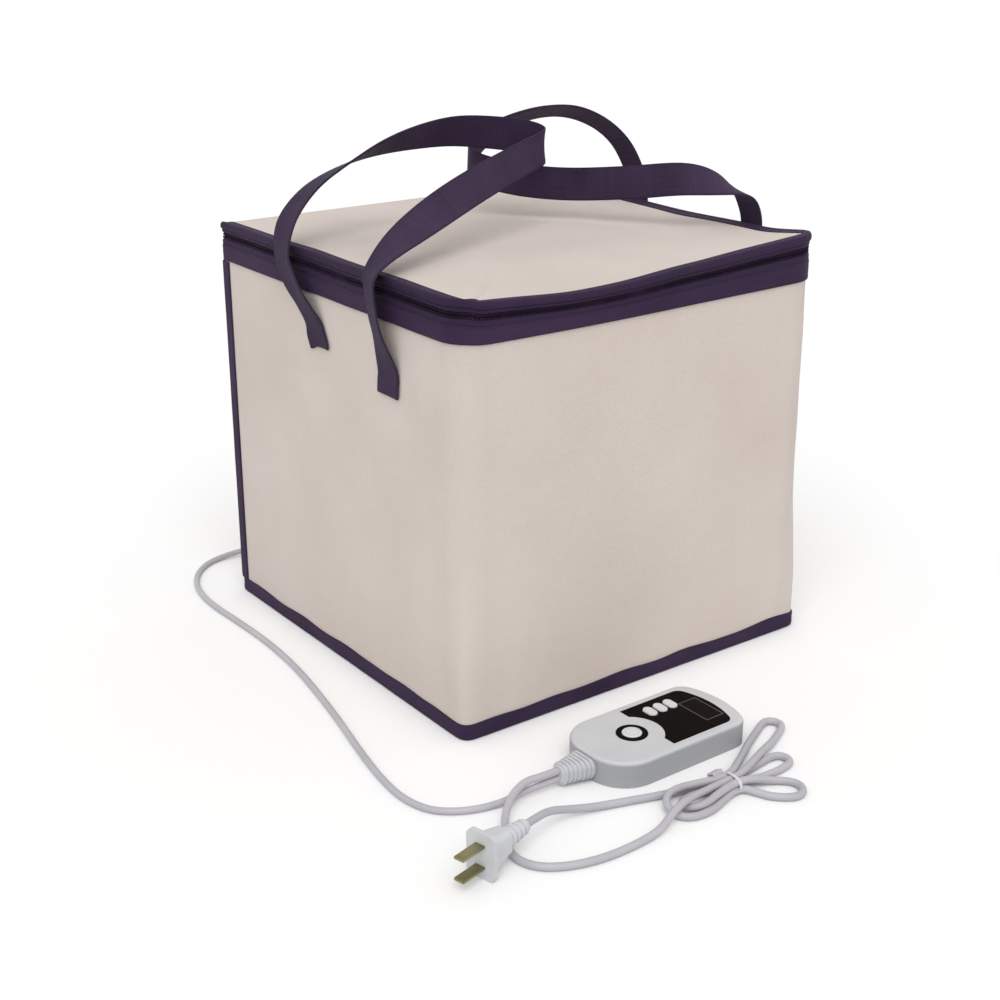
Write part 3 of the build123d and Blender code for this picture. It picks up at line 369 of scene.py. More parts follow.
def pinch(station, out, z, soft=front_corner, tight=6.0):
    """How much further out a front corner stands near the foot, where its binding draws it tighter, in mm."""
    wide, narrow, shift = off_middle(*out), min(abs(out.x), abs(out.y)), soft - tight
    if station.y > 0 or narrow < 0.01:
        return 0.0
    if narrow / wide * soft <= shift:
        reach = soft / wide
    else:
        middle = shift * (wide + narrow)
        reach = middle + math.sqrt(middle * middle - 2 * shift * shift + tight * tight)
    return (reach - soft) * smooth_step(z, 120, 14)


def hang(x, y, z):
    """How far the slack rim stands above or below its line, in mm: it dips left of the front's middle and curls up
    at the right front corner, less and less towards the foot of the band and towards the rear."""
    front = -6.0 * bump(x, -45, 70) + 5.0 * smooth_step(x, 30, 150)
    right = 5.0 * smooth_step(y, -88, -142) - bump(y, -10, 45)
    loose = front * smooth_step(y, -55, -138) if y < x - 8 and -y > x - 6 else right * smooth_step(x, 60, 135)
    return (loose + 0.7 * ramp(y, 120, 60) * ripple(x, y, 50, 48)) * ramp(z, 240, 268)


edge_roll = 2.3  # mm from a binding's outer face to where its flat inner part starts


def square_in(out, wide):
    """The inner edge of a binding whose inner corner is square while its outer corner is round, in mm."""
    most = off_middle(*out)
    return max(edge_roll, (front_corner * (most - 1) + wide) / most)


def lay_strip(name, line, profile, loose=0.0, wavy=0.0):
    """A strip along a line; profile lists (outwards, height) from one edge to the other, in mm. Its last edge may be
    wavy, as a binding is where it was sewn on by eye."""
    rows = len(profile) - 1
    deepest = -min(outwards for outwards, height in profile)

    def place(column, row):
        station, out = line.stations[column]
        outwards, height = profile[row]
        if outwards < -edge_roll and height > lid_level and station.y < 0:
            inner = (square_in(out, deepest) - edge_roll) / (deepest - edge_roll)
            outwards = (outwards + edge_roll) * inner - edge_roll
        outwards += loose * ripple(station.x, station.y, height, 23) + pinch(station, out, height)
        height += loose * ripple(station.y, station.x, 7 * row, 31)
        height += wavy * max(0.0, 2 * row / rows - 1) * (ripple(station.x, station.y, 90, 33) + 0.3)
        x, y = station.x + out.x * outwards, station.y + out.y * outwards
        return (x, y, height + hang(x, y, height))

    return cut_sheet(name, len(line.stations) - 1, rows, (line.length, long_way(profile)), place)


def sew_tape(name, body, node, line, profile, thickness, loose, wavy=0.0):
    """A dark tape along a line, which rides on one body and stands for one solid."""
    tape = thicken(lay_strip(name, line, profile, loose, wavy), thickness)
    settle(tape, body, "dark_webbing", node)
    print(name, "faces", len(tape.data.polygons))
    return tape


# %% [markdown]
# ## The walls
# One cloth goes round three sides with soft corners, over foam boards that hold it up. Cloth on foam is never flat:
# it stands a little proud in the middle of each panel, draws in along its seams, and dips where a board ends. The
# panel is pinned at its seams and blown out gently with a cloth simulation, and its travel is then capped, so that
# it keeps to the shape that the boards give it. The boards themselves stand right behind it.

# %% Padding by simulation
cloth_frames = 20


def puff(piece, held, pressure, cap):
    """Blows a piece out against the points that held(spot) keeps still; cap(spot) is the furthest move in mm."""
    start = [point.co.copy() for point in piece.data.vertices]
    pins = piece.vertex_groups.new(name="seams")
    pins.add([point.index for point in piece.data.vertices if held(point.co / MM)], 1.0, "REPLACE")
    take(piece)
    cloth = piece.modifiers.new("cloth", "CLOTH")
    cloth.settings.quality = 4
    cloth.settings.mass = 0.25
    cloth.settings.tension_stiffness = cloth.settings.compression_stiffness = 40
    cloth.settings.shear_stiffness, cloth.settings.bending_stiffness = 12, 6
    cloth.settings.use_pressure, cloth.settings.uniform_pressure_force = True, pressure
    cloth.settings.effector_weights.gravity = 0
    cloth.settings.vertex_group_mass = "seams"
    cloth.collision_settings.use_collision = cloth.collision_settings.use_self_collision = False
    for frame_number in range(1, cloth_frames + 1):
        bpy.context.scene.frame_set(frame_number)
    bpy.ops.object.modifier_apply(modifier="cloth")
    bpy.context.scene.frame_set(1)
    furthest = 0.0
    for point, home in zip(piece.data.vertices, start):
        move, limit = point.co - home, max(0.0, cap(home / MM)) * MM
        if move.length > limit:
            move = move * (limit / move.length)
        furthest = max(furthest, move.length)
        point.co = home + move
    piece.vertex_groups.clear()
    print(piece.name, "moved up to", round(furthest / MM, 1), "mm")


# %% Wall shape
def swell(value, start, end):
    """0 at both ends of a panel and 1 over most of its middle."""
    return min(1.0, 2.6 * math.sin(math.pi * ramp(value, start, end))) ** 1.5


strap_foot_places = {-1: (16.0, -66.5), 1: (-51.0, 36.5)}
foot_seam, top_seam, rear_seam = 12.0, 240.0, 128.0
cloth_foot = 1.0  # the height that every upright sheet starts at, in mm
cloth_thickness = 0.9


def free_of_straps(x, y, z):
    """0 where a strap's foot is sewn to a side wall and holds the cloth in, and 1 away from it."""
    if abs(x) < half - 1:
        return 1.0
    nearest = min(abs(y - place) for place in strap_foot_places[1 if x > 0 else -1])
    return 1 - smooth_step(z, 168, 192) * (1 - smooth_step(nearest, 14, 44))


def wall_out(x, y, z):
    """How far the wall cloth stands off its line, in mm: nothing at the seams, and dips beside the corners."""
    up = swell(z, foot_seam, top_seam)
    towards_rear = ramp(y, rear_seam, rear_seam - 30) if abs(x) > half - 1 else 1.0
    soft = 0.9 + 0.55 * ripple(x, y, z, 74) + 0.22 * ripple(x, y, z, 27)
    for dip in (-110.0, 110.0):
        along = x - dip if y < 1 - half else (y + 108.0 if abs(x) > half - 1 else 40.0)
        soft -= 0.55 * bump(along, 0, 7)
    return max(0.0, soft) * up * towards_rear * free_of_straps(x, y, z)


def make_wall():
    rows, tall = 50, 252.0

    def place(column, row):
        station, out = three_sides.stations[column]
        z = cloth_foot + tall * row / rows
        off = wall_out(station.x, station.y, z) + pinch(station, out, z)
        return (station.x + out.x * off, station.y + out.y * off, z + hang(station.x, station.y, z))

    def held(spot):
        return spot.z < foot_seam + 1 or spot.z > top_seam or spot.y > rear_seam

    def cap(spot):
        from_seams = ((spot.z - foot_seam) / 30, (top_seam - spot.z) / 25, (rear_seam + 1 - spot.y) / 25)
        return 1.5 * min(1, *from_seams) * free_of_straps(*spot)

    wall = cut_sheet("wall_panel", len(three_sides.stations) - 1, rows, (three_sides.length, tall), place)
    puff(wall, held, 1.2, cap)
    return thicken(wall, cloth_thickness)


wall_panel = make_wall()
sink(wall_panel, "cream_cloth", "wall_cloth")
print("wall panel", len(wall_panel.data.polygons))


# %% Rear panel, which the hinge closes at its top
def make_rear():
    rows, tall = 48, 244.3

    def place(column, row):
        station, out = rear_side.stations[column]
        z = cloth_foot + tall * row / rows
        pad = 1.6 * swell(z, 22, 236) * swell(station.x, -rear_seam, rear_seam)
        return (station.x, station.y + max(0.0, 0.9 + 0.6 * ripple(station.x, 0, z, 66)) * pad, z)

    rear = cut_sheet("rear_panel", len(rear_side.stations) - 1, rows, (278, 244), place)
    return thicken(rear, cloth_thickness)


rear_panel = make_rear()
sink(rear_panel, "cream_cloth", "rear_cloth")


# %% Foam boards, which stand right behind the cloth
board_face, board_top, board_thickness = 138.9, 258.6, 7.8


def make_board(side, corners, for_cord=False):
    """A board behind the cloth, drawn by its outer face, and with an opening if the cord comes through it."""
    line, rows = Line(corners), 44

    def place(column, row):
        station, out = line.stations[column]
        z = cloth_foot + (board_top - cloth_foot) * row / rows
        return (station.x, station.y, z + hang(station.x, station.y, z))

    board = cut_sheet(side + "_board", len(line.stations) - 1, rows, (line.length, board_top), place)
    if for_cord:
        pick_faces(board, lambda middle: abs(middle.x - cord_x) < cord_room and abs(middle.z - cord_z) < cord_room)
        bpy.ops.mesh.delete(type="FACE")
        stop_edit()
    thicken(board, board_thickness, rounds=0)
    sink(board, "foam_board", side + "_foam")
    print(board.name, len(board.data.polygons))
    return board


boards = [
    make_board("left", [(-board_face, rear_end, 0), (-board_face, -119.8, 0)]),
    make_board("front", [
        (-board_face, -120, 0), (-board_face, -board_face, 18), (board_face, -board_face, 18), (board_face, -120, 0),
    ]),
    make_board("right", [(board_face, -119.8, 0), (board_face, rear_end, 0)]),
    make_board("rear", [(130.8, board_face, 0), (-130.8, board_face, 0)], for_cord=True),
]

# %% [markdown]
# ## Bindings
# A dark tape is folded over every cut edge: along the foot, up both rear corners and round the rim. In section each
# is a flat tape with two rolled edges, so its profile is drawn once and laid along the line.

# %% Foot binding and underside
thin_tape, thick_tape = 0.5, 0.6
foot_profile = [
    (-7.6, 0.2), (-7.0, 0.1), (-3.0, 0.1), (-0.2, 0.12), (0.7, 0.35), (1.15, 1.0), (1.2, 2.2), (1.1, 5.0),
    (1.05, 8.0), (1.2, 8.9), (1.15, 9.7), (0.75, 10.1), (0.1, 10.0),
]
foot_binding = sew_tape("foot_binding", "base", "bottom_binding", foot_line, foot_profile, thin_tape, 0.12, wavy=2.2)


def underside_place(x, y):
    return (*pull_in(x, y, rear_end, 5), 0.35 + 0.2 * ripple(x, y, 0, 40))


underside = thicken(lay_square("underside", rear_end, 56, underside_place), 0.5, offset=0, rounds=0)
settle(underside, "base", "cream_cloth", "base_cloth")


# %% Rear corner bindings, each the other's mirror image
def make_corner(name, side):
    profile = [
        (0.1, 8.2), (0.9, 8.1), (1.2, 7.2), (1.15, 3.0), (1.2, 0.6), (0.95, -0.5), (0.6, -0.95), (-0.5, -1.2),
        (-3.0, -1.15), (-7.2, -1.2), (-8.1, -0.9), (-8.2, -0.1),
    ]
    rows, columns, foot, tall = len(profile) - 1, 48, 10.0, 233.7

    def place(column, row):
        z = foot + tall * column / columns
        out, inwards = profile[row]
        out += 0.1 * ripple(row, z, side, 19)
        return (side * (half + out), half - inwards, z)

    corner = cut_sheet(name, columns, rows, (tall, long_way(profile)), place)
    if side > 0:
        edit(corner)
        bpy.ops.mesh.flip_normals()
        stop_edit()
    thicken(corner, thin_tape)
    sink(corner, "dark_webbing", "corner_bindings")
    print(name, len(corner.data.polygons))
    return corner


corner_bindings = [make_corner("left_corner_binding", -1), make_corner("right_corner_binding", 1)]

# %% Rim band: a tape sewn over the top of the wall, with a groove where the zip tape starts
rim_profile = [
    (0.1, 244.2), (0.9, 243.9), (1.35, 244.3), (1.45, 245.2), (1.2, 246.4), (1.35, 248.5), (1.4, 250.5), (1.2, 252.0),
    (1.4, 253.2), (1.35, 254.4), (1.0, 254.9), (0.35, 254.95),
]
rim_tape = sew_tape("rim_tape", "rim", "rim_band", three_sides, rim_profile, thick_tape, loose=0.16)

# %% [markdown]
# ## The zip
# A zip is two woven tapes and two rows of teeth that lock. The tapes are strips along the same line. One tooth is
# modelled, then copied along the line for each row, and the two rows are half a step apart, as they mesh.

# %% Zip tapes
lower_profile = [
    (0.75, 253.3), (0.95, 254.8), (1.0, 256.4), (0.9, 257.8), (0.4, 258.6), (-1.3, 259.1), (-1.7, 261.2),
]
upper_profile = [(-0.9, 260.5), (-0.8, 262.1), (0.4, 262.6), (0.9, 263.3), (1.0, 264.3), (0.9, 265.2)]
lower_tape = sew_tape("lower_tape", "rim", "lower_zip_tape", three_sides, lower_profile, thin_tape, loose=0.05)
upper_tape = sew_tape("upper_tape", "lid", "upper_zip_tape", lid_sides, upper_profile, thin_tape, loose=0.05)


# %% Zip teeth
def make_tooth():
    """One tooth, as a bar that stands out from its tape and is rounded at its nose."""
    drop_selection()
    bpy.ops.mesh.primitive_cube_add(size=1)
    tooth = bpy.context.object
    tooth.scale = (0.85 * MM, 2.0 * MM, 1.5 * MM)
    bpy.ops.object.transform_apply(scale=True)
    edit(tooth)
    bpy.ops.mesh.bevel(offset=0.22 * MM, segments=1)
    stop_edit()
    return tooth


def lay_teeth(name, line, height, shift, pitch=1.6, sunk=0.45):
    """A row of teeth, pitch apart and sunk into the tape, in mm; shift moves it by a share of the pitch."""
    tooth = make_tooth()
    corners = [point.co.copy() for point in tooth.data.vertices]
    faces = [list(face.vertices) for face in tooth.data.polygons]
    bpy.data.objects.remove(tooth)
    points, sides, index = [], [], 0
    for number in range(int(line.length / pitch) - 1):
        run = (number + 0.5 + shift) * pitch
        while line.runs[index + 1] < run:
            index += 1
        share = (run - line.runs[index]) / (line.runs[index + 1] - line.runs[index])
        (near, near_out), (far, far_out) = line.stations[index], line.stations[index + 1]
        place, out = near.lerp(far, share), near_out.lerp(far_out, share).normalized()
        first = len(points)
        for corner in corners:
            outwards = corner.y - sunk * MM
            x = place.x * MM + out.x * outwards - out.y * corner.x
            y = place.y * MM + out.y * outwards + out.x * corner.x
            points.append((x, y, (height + hang(place.x, place.y, height)) * MM + corner.z))
        sides += [[first + side for side in face] for face in faces]
    mesh = bpy.data.meshes.new(name)
    mesh.from_pydata(points, [], sides)
    row = bpy.data.objects.new(name, mesh)
    bpy.context.scene.collection.objects.link(row)
    take(row)
    bpy.ops.object.shade_smooth_by_angle(angle=math.radians(35))
    print(name, "teeth", number + 1)
    return row


lower_teeth = lay_teeth("lower_teeth", three_sides, 259.6, 0.0)
upper_teeth = lay_teeth("upper_teeth", lid_sides, 261.6, 0.5)
settle(lower_teeth, "rim", "zip_teeth", "lower_zip_coil")
settle(upper_teeth, "lid", "zip_teeth", "upper_zip_coil")

# %% [markdown]
# ## The lid
# The lid is a padded board: foam between a cloth and a lining, with a dark piping sewn round three edges. The pad
# starts as an even grid with rounded front corners, extruded down to its thickness. It is blown out against its
# piping, and capped, which gives the slack crown that a thin cushion has. Long shallow ripples are pressed in
# afterwards, because the simulation leaves it too even. At the front the whole edge hangs slack between its corners.

# %% Lid pad
lid_reach = 138.2


def make_lid_pad():
    top, deep, corner = 268.6, 7.5, 18
    upper_half = top - deep / 2

    def held(spot):
        return spot.z < upper_half or off_middle(spot.x, spot.y) > 131

    def cap(spot):
        return 4.0 * ramp(off_middle(spot.x, spot.y), 133, 73) if spot.z > upper_half else 0.0

    pad = lay_square("lid_pad", lid_reach, 92, lambda x, y: (*pull_in(x, y, lid_reach, corner), top))
    edit(pad)
    push(0, 0, -deep)
    bpy.ops.mesh.select_all(action="SELECT")
    bpy.ops.mesh.normals_make_consistent(inside=False)
    stop_edit()
    puff(pad, held, 4.0, cap)
    for point in pad.data.vertices:
        x, y, z = point.co / MM
        if z > upper_half:
            slack = 1.6 * ripple(x, y, 0, 95) + 0.8 * ripple(x, y, 40, 42) - 1.6 * bump(x * 0.5 + y, -20, 46)
            slack -= 1.2 * bump(x - y, 150, 24) + 0.9 * bump(0.8 * x + y, 90, 18)
            point.co.z += (slack * ramp(off_middle(x, y), 136, 106) + hang(x, y, z)) * MM
    chart = pad.data.uv_layers.active.data
    for loop in pad.data.loops:
        spot = pad.data.vertices[loop.vertex_index].co
        chart[loop.index].uv = (spot.x, spot.y)
    take(pad)
    bpy.ops.object.shade_smooth()
    return pad


lid_pad = make_lid_pad()
settle(lid_pad, "lid", "cream_cloth", "lid_cloth", "lid_foam")
print("lid pad", len(lid_pad.data.polygons))


# %% Lid piping: a tape folded over a cord, with its flat inner edge sewn down on the pad
piping_profile = [
    (0.2, 264.9), (1.3, 265.1), (1.95, 265.9), (2.1, 267.2), (1.8, 268.6), (1.1, 269.6), (0.1, 270.0), (-1.0, 269.8),
    (-2.0, 269.3), (-3.6, 269.15), (-5.8, 269.1), (-7.8, 269.0), (-8.5, 268.5),
]
piping = sew_tape("piping", "lid", "lid_piping", lid_sides, piping_profile, thick_tape, loose=0.12)

# %% Hinge cloth, along the rear edge where the lid turns on the real bag
hinge_profile = [
    (-0.6, 245.6), (-0.15, 246.4), (-0.3, 249), (-0.25, 256), (-0.3, 262), (-0.5, 265), (-0.8, 266.6),
    (-1.4, 267.8), (-2.4, 268.2),
]
hinge_cloth = thicken(lay_strip("hinge_cloth", rear_side, hinge_profile, loose=0.1), thin_tape)
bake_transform(hinge_cloth)
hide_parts("hinge_strip")

# %% [markdown]
# ## The linings
# Inside, a silvery film on thin wadding covers the boards, turns over their tops, and lies on the heated floor and
# under the lid. Film never lies flat either, so each sheet gets small dents before its thickness.

# %% Linings
film_face, film_thickness = 130.6, 0.3
inner_line = Line([
    (0, film_face, 0), (-film_face, film_face, 2), (-film_face, -film_face, 10.5), (film_face, -film_face, 10.5),
    (film_face, film_face, 2), (0, film_face, 0),
], step=5.0)


def make_inner_lining():
    upright, foot, tall = 52, 17.6, 241.2
    over_the_board = [(0.35, 259.55), (1.3, 259.8), (4.2, 259.8), (7.0, 259.8)]
    profile = [(0.0, foot + tall * part / upright) for part in range(upright + 1)] + over_the_board
    rows = len(profile) - 1

    def place(column, row):
        station, out = inner_line.stations[column]
        outwards, z = profile[row]
        if row <= upright:
            dent = 0.42 * ripple(station.x, station.y, z, 21) + 0.2 * ripple(station.x, station.y, z, 9) - 0.3
            outwards += dent * swell(z, 17, 259)
        x, y = station.x + out.x * outwards, station.y + out.y * outwards
        return (x, y, z + hang(x, y, z))

    lining = cut_sheet("inner_lining", len(inner_line.stations) - 1, rows, (inner_line.length, 250), place)
    edit(lining)
    bpy.ops.mesh.remove_doubles(threshold=0.01 * MM)
    bpy.ops.mesh.flip_normals()
    stop_edit()
    return thicken(lining, film_thickness, rounds=0)


def make_flat_lining(name, reach, z, dents, crown, corner):
    """A square film at height z with rounded front corners, dented, and raised in its middle by crown, in mm."""
    def place(x, y):
        edge = ramp(off_middle(x, y), reach, reach - 28)
        dent = dents * (0.7 * ripple(x, y, z, 24) + 0.3 * ripple(x, y, z, 10)) + crown
        return (*pull_in(x, y, reach, corner), z + dent * edge)

    return thicken(lay_square(name, reach, 90, place), film_thickness, offset=0, rounds=0)


inner_lining = make_inner_lining()
floor_lining = make_flat_lining("floor_lining", reach=129.9, z=17.7, dents=0.7, crown=0.5, corner=10)
lid_film = make_flat_lining("lid_film", lid_reach, z=260.6, dents=0.8, crown=-1.6, corner=19)
sink(inner_lining, "silver_lining", "wall_lining", foot=0.020)
settle(floor_lining, "base", "silver_lining", "base_lining")
settle(lid_film, "lid", "silver_lining", "lid_lining")
print("linings", len(inner_lining.data.polygons), len(floor_lining.data.polygons), len(lid_film.data.polygons))

# %% [markdown]
# ## The straps
# Each handle is one flat strap. Its two ends hang from the wall, where they are sewn, and its loop falls across the
# lid and rolls over on the way, so that it shows its face, its edge and then its back. The strap is written as the
# places it passes, each with a roll angle. A smooth line through those places carries the rows of a long grid.

# %% Strap routes, as x, y, height above the fold line, and roll in degrees
fold_height, wall_middle, strap_middle = 262.0, 141.1, 148.2
left_loop = [
    (-148.2, 42, 0.2, 0), (-147, 43, 13, 0), (-139, 46, 27, -4), (-121, 50, 41, -10), (-98, 52, 51, -18),
    (-72, 52, 59.5, -34), (-44, 49, 65, -52), (-16, 44, 67.5, -68), (10, 35, 65.5, -82), (28, 25, 62.5, -90),
    (34, 16, 59.5, -90), (29, 8, 57, -94), (8, 1, 53, -100), (-20, -8, 47.5, -108), (-52, -20, 41, -120),
    (-84, -34, 34, -138), (-112, -46, 26, -156), (-134, -55, 17, -172), (-146.8, -59, 8, -180),
    (-148.2, -60, 0.2, -180),
]
right_loop = [
    (148.2, -69, 0.2, 0), (147, -69, 13, 0), (140, -67.5, 26, 8), (124, -62, 34, 34), (102, -49, 37.5, 62),
    (76, -26, 34.5, 82), (50, 3, 32, 90), (30, 28, 33, 90), (15, 49, 37, 90), (10, 62, 41, 90), (16, 72, 47, 98),
    (32, 77, 56, 116), (54, 77, 65, 138), (78, 74, 70, 150), (102, 69, 69, 157), (123, 62, 60, 165),
    (138, 55, 45, 173), (146.2, 48, 23, 180), (147.8, 46, 8, 180), (148.2, 45, 0.2, 180),
]
leg_steps = [(0, 0), (0.28, 0.38), (0.55, 0.78), (0.8, 0.97)]
cut_edge, sewing_top = 199.0, 214.0
strap_columns, strap_width, strap_thickness = [-11.0, -10.2, -8.0, -4.0, 0.0, 4.0, 8.0, 10.2, 11.0], 22, 1.4


def leg_places(side, ends, roll):
    """One end up to the fold line; ends are y at its cut edge, at the top of the sewing and at the fold, and how much
    higher than usual it is sewn, in mm."""
    low, sewn, top, lift = ends
    edge, stitched = cut_edge - fold_height + lift, sewing_top - fold_height + lift
    x = side * wall_middle
    places = [(x, low, edge, roll), (x, (low + sewn) / 2, (edge + stitched) / 2, roll)]
    for share, out in leg_steps:
        x = side * (wall_middle + (strap_middle - wall_middle) * out)
        places.append((x, sewn + (top - sewn) * share, stitched + (-0.2 - stitched) * share, roll))
    return places


def smooth_through(places, steps):
    """More places on a smooth curve through the ones given."""
    found = [places[0]]
    for index in range(len(places) - 1):
        group = (places[max(index - 1, 0)], places[index], places[index + 1], places[min(index + 2, len(places) - 1)])
        for step in range(1, steps + 1):
            t = step / steps
            found.append(tuple(
                b + (c - a) * t / 2 + (2 * a - 5 * b + 4 * c - d) * t * t / 2 + (3 * b - 3 * c + d - a) * t ** 3 / 2
                for a, b, c, d in zip(*group)
            ))
    return found


def make_strap(name, side, loop, near_ends, far_ends, turns):
    """A strap over its whole route; turns are how far its two legs turn on the wall, in degrees."""
    route = leg_places(side, near_ends, loop[0][3]) + loop + leg_places(side, far_ends, loop[-1][3])[::-1]
    rows = smooth_through(route, 4)
    middles = [Vector((x, y, z + fold_height)) for x, y, z, roll in rows]
    length = long_way(middles)
    frames = []
    for index, middle in enumerate(middles):
        along = (middles[min(index + 1, len(middles) - 1)] - middles[max(index - 1, 0)]).normalized()
        if index in (0, len(middles) - 1):
            along = Vector((0, 0, 1 if index == 0 else -1))
        roll = math.radians(rows[index][3])
        across = Vector((0, math.cos(roll), math.sin(roll)))
        across = (across - along * across.dot(along)).normalized()
        turn = math.radians(-turns[0] if index < len(middles) / 2 else turns[1])
        # a leg turns between its sewing and the rim, and is straight again above the lid
        turn *= smooth_step(middle.z, 213, 240) * (1 - smooth_step(middle.z, 262, 290))
        across = across * math.cos(turn) + along.cross(across) * math.sin(turn)
        frames.append((middle, across, along.cross(across)))

    def place(row, column):
        middle, across, face = frames[row]
        sideways = strap_columns[column]
        lift = 0.25 * ripple(*middle, 35) + 0.0036 * sideways ** 2
        return middle + across * sideways + face * lift

    strap = cut_sheet(name, len(rows) - 1, len(strap_columns) - 1, (length, strap_width), place)
    print(name, "length", round(length), "rows", len(rows))
    return thicken(strap, strap_thickness, offset=0)


left_strap = make_strap("left_strap", -1, left_loop, (12, 20, 42, 12), (-66, -67, -60, 0), turns=(6, 18))
right_strap = make_strap("right_strap", 1, right_loop, (-50, -52, -69, 0), (36, 37, 45, 0), turns=(7, 7))
for side, strap in (("left", left_strap), ("right", right_strap)):
    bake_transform(strap)
    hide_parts(side + "_strap_ends", side + "_strap_loop")

# %% [markdown]
# ## Small pieces on the table
# A flat tie pinches the hank, with its head on top. It starts as a ring round the six strands, stretched to their
# oval, and gets its width by extrusion. The head is a small block whose end is sunk, where the band goes through.
# The window in the controller's black panel has a thin pale border, which is an inset plane without its middle.

# %% Tie
tie_place, tie_reach, tie_width = Vector((-50.2, -274.0, 5.35)), (7.5, 5.15), 2.3
head_place, head_size = Vector((-55.2, -266.4, 9.6)), Vector((8.2, 5.2, 3.0))


def make_tie():
    drop_selection()
    bpy.ops.mesh.primitive_circle_add(vertices=28, radius=1, rotation=(0, math.pi / 2, 0), location=tie_place * MM)
    tie = name_it("cord_tie")
    bpy.ops.object.transform_apply(location=False, rotation=True, scale=False)
    for point in tie.data.vertices:
        y, z = point.co.y, point.co.z
        squared = off_middle(y, z) ** 0.35
        point.co.y, point.co.z = y / squared * tie_reach[0] * MM, z / squared * tie_reach[1] * MM
    bpy.ops.object.transform_apply(location=True, rotation=False, scale=False)
    edit(tie, "EDGE")
    push(tie_width, 0, 0)
    stop_edit()
    return thicken(tie, 0.5, offset=0)


cord_tie = make_tie()
print("tie", [round(x / MM, 1) for x in cord_tie.dimensions])


def make_head():
    """The tie's head, a small block with a slot for the band, which lies on the bundle beside it."""
    drop_selection()
    bpy.ops.mesh.primitive_cube_add(size=1, location=head_place * MM, rotation=(-0.5, 0.0, 0.12))
    head = name_it("tie_end")
    head.scale = head_size * MM
    bpy.ops.object.transform_apply(location=True, rotation=True, scale=True)
    pick_faces(head, lambda middle: middle.x < head_place.x - 0.4 * head_size.x)
    bpy.ops.mesh.inset(thickness=0.9 * MM)
    push(1.6, 0, 0)
    stop_edit()
    rounding = head.modifiers.new("rounding", "BEVEL")
    rounding.width, rounding.segments, rounding.limit_method = 0.4 * MM, 2, "ANGLE"
    set_modifiers(head)
    bpy.ops.object.shade_smooth_by_angle(angle=math.radians(40))
    print("tie head faces", len(head.data.polygons))
    return head


tie_end = make_head()
settle(cord_tie, "base", "white_plastic", "hank_tie")
settle(tie_end, "base", "white_plastic")

# %% Controller's own frame, and the window's border
case_turn = math.radians(0.6)
case_along = Vector((math.cos(case_turn), math.sin(case_turn), 0))
case_across = Vector((-math.sin(case_turn), math.cos(case_turn), 0))


def on_case(u, v, z):
    """A place on the controller: u from its cord end, v towards the bag, z above the table, in mm."""
    return (Vector((-106, -212, z)) + case_along * u + case_across * v) * MM


def make_border():
    drop_selection()
    bpy.ops.mesh.primitive_plane_add(size=1, location=on_case(88.5, -2.5, 16.02), rotation=(0, 0, case_turn))
    border = name_it("window_border")
    border.scale = (13.7 * MM, 25.2 * MM, 1)
    bpy.ops.object.transform_apply(location=True, rotation=True, scale=True)
    edit(border, "FACE")
    bpy.ops.mesh.inset(thickness=0.32 * MM)
    bpy.ops.mesh.delete(type="FACE")
    bpy.ops.mesh.select_all(action="SELECT")
    push(0, 0, 0.08)
    stop_edit()
    return border


window_border = make_border()
settle(window_border, "base", "button_grey")
print("border faces", len(window_border.data.polygons))

# %% [markdown]
# ## Finishes
# Each finish is built from a few effects that several of them share: a weave, a slow cloudiness, rows of sewing and
# a fine skin. Each effect is a node group that puts out only masks and heights. The shader itself stays in its own
# material, and every value that is the same all over is set on the shader's own socket.

# %% Node helpers
def feed(tree, socket, value):
    """A number or colour is set on the socket, and an output is linked to it."""
    if isinstance(value, bpy.types.NodeSocket):
        tree.links.new(value, socket)
    else:
        socket.default_value = value


def work(tree, operation, *values):
    node = tree.nodes.new("ShaderNodeMath")
    node.operation = operation
    for socket, value in zip(node.inputs, values):
        feed(tree, socket, value)
    return node.outputs[0]


def noise_at(tree, vector, scale, detail=2.0):
    node = tree.nodes.new("ShaderNodeTexNoise")
    feed(tree, node.inputs["Vector"], vector)
    feed(tree, node.inputs["Scale"], scale)
    node.inputs["Detail"].default_value = detail
    return node.outputs["Fac"]


def stretch(tree, vector, scale):
    node = tree.nodes.new("ShaderNodeVectorMath")
    node.operation = "MULTIPLY"
    feed(tree, node.inputs[0], vector)
    node.inputs[1].default_value = scale
    return node.outputs[0]


def tint(code):
    """A colour written as it looks, turned into the light it stands for."""
    parts = [int(code[index:index + 2], 16) / 255 for index in (0, 2, 4)]
    return (*[part / 12.92 if part <= 0.04045 else ((part + 0.055) / 1.055) ** 2.4 for part in parts], 1.0)


def between(tree, mask, low, high):
    """A colour between two, or a number between two, by a mask. A colour may be written as its code."""
    low, high = (tint(end) if isinstance(end, str) else end for end in (low, high))
    node = tree.nodes.new("ShaderNodeMix")
    colours = not isinstance(low, float)
    node.data_type = "RGBA" if colours else "FLOAT"
    first = 6 if colours else 2
    feed(tree, node.inputs[0], mask)
    feed(tree, node.inputs[first], low)
    feed(tree, node.inputs[first + 1], high)
    return node.outputs[2 if colours else 0]


def vary(tree, socket, mask, low, high):
    """The socket gets a colour or a number between two, by a mask."""
    feed(tree, socket, between(tree, mask, low, high))


def steer(tree, mask, low, high):
    """Spreads the part of a mask from low to high over 0 to 1."""
    node = tree.nodes.new("ShaderNodeMapRange")
    feed(tree, node.inputs["Value"], mask)
    node.inputs["From Min"].default_value, node.inputs["From Max"].default_value = low, high
    return node.outputs["Result"]


def blend_of(tree, first, second, share):
    """So much of the first mask, and the rest of the second."""
    return work(tree, "ADD", work(tree, "MULTIPLY", first, share), work(tree, "MULTIPLY", second, 1 - share))


def axes(tree, vector):
    node = tree.nodes.new("ShaderNodeSeparateXYZ")
    tree.links.new(vector, node.inputs[0])
    return node.outputs


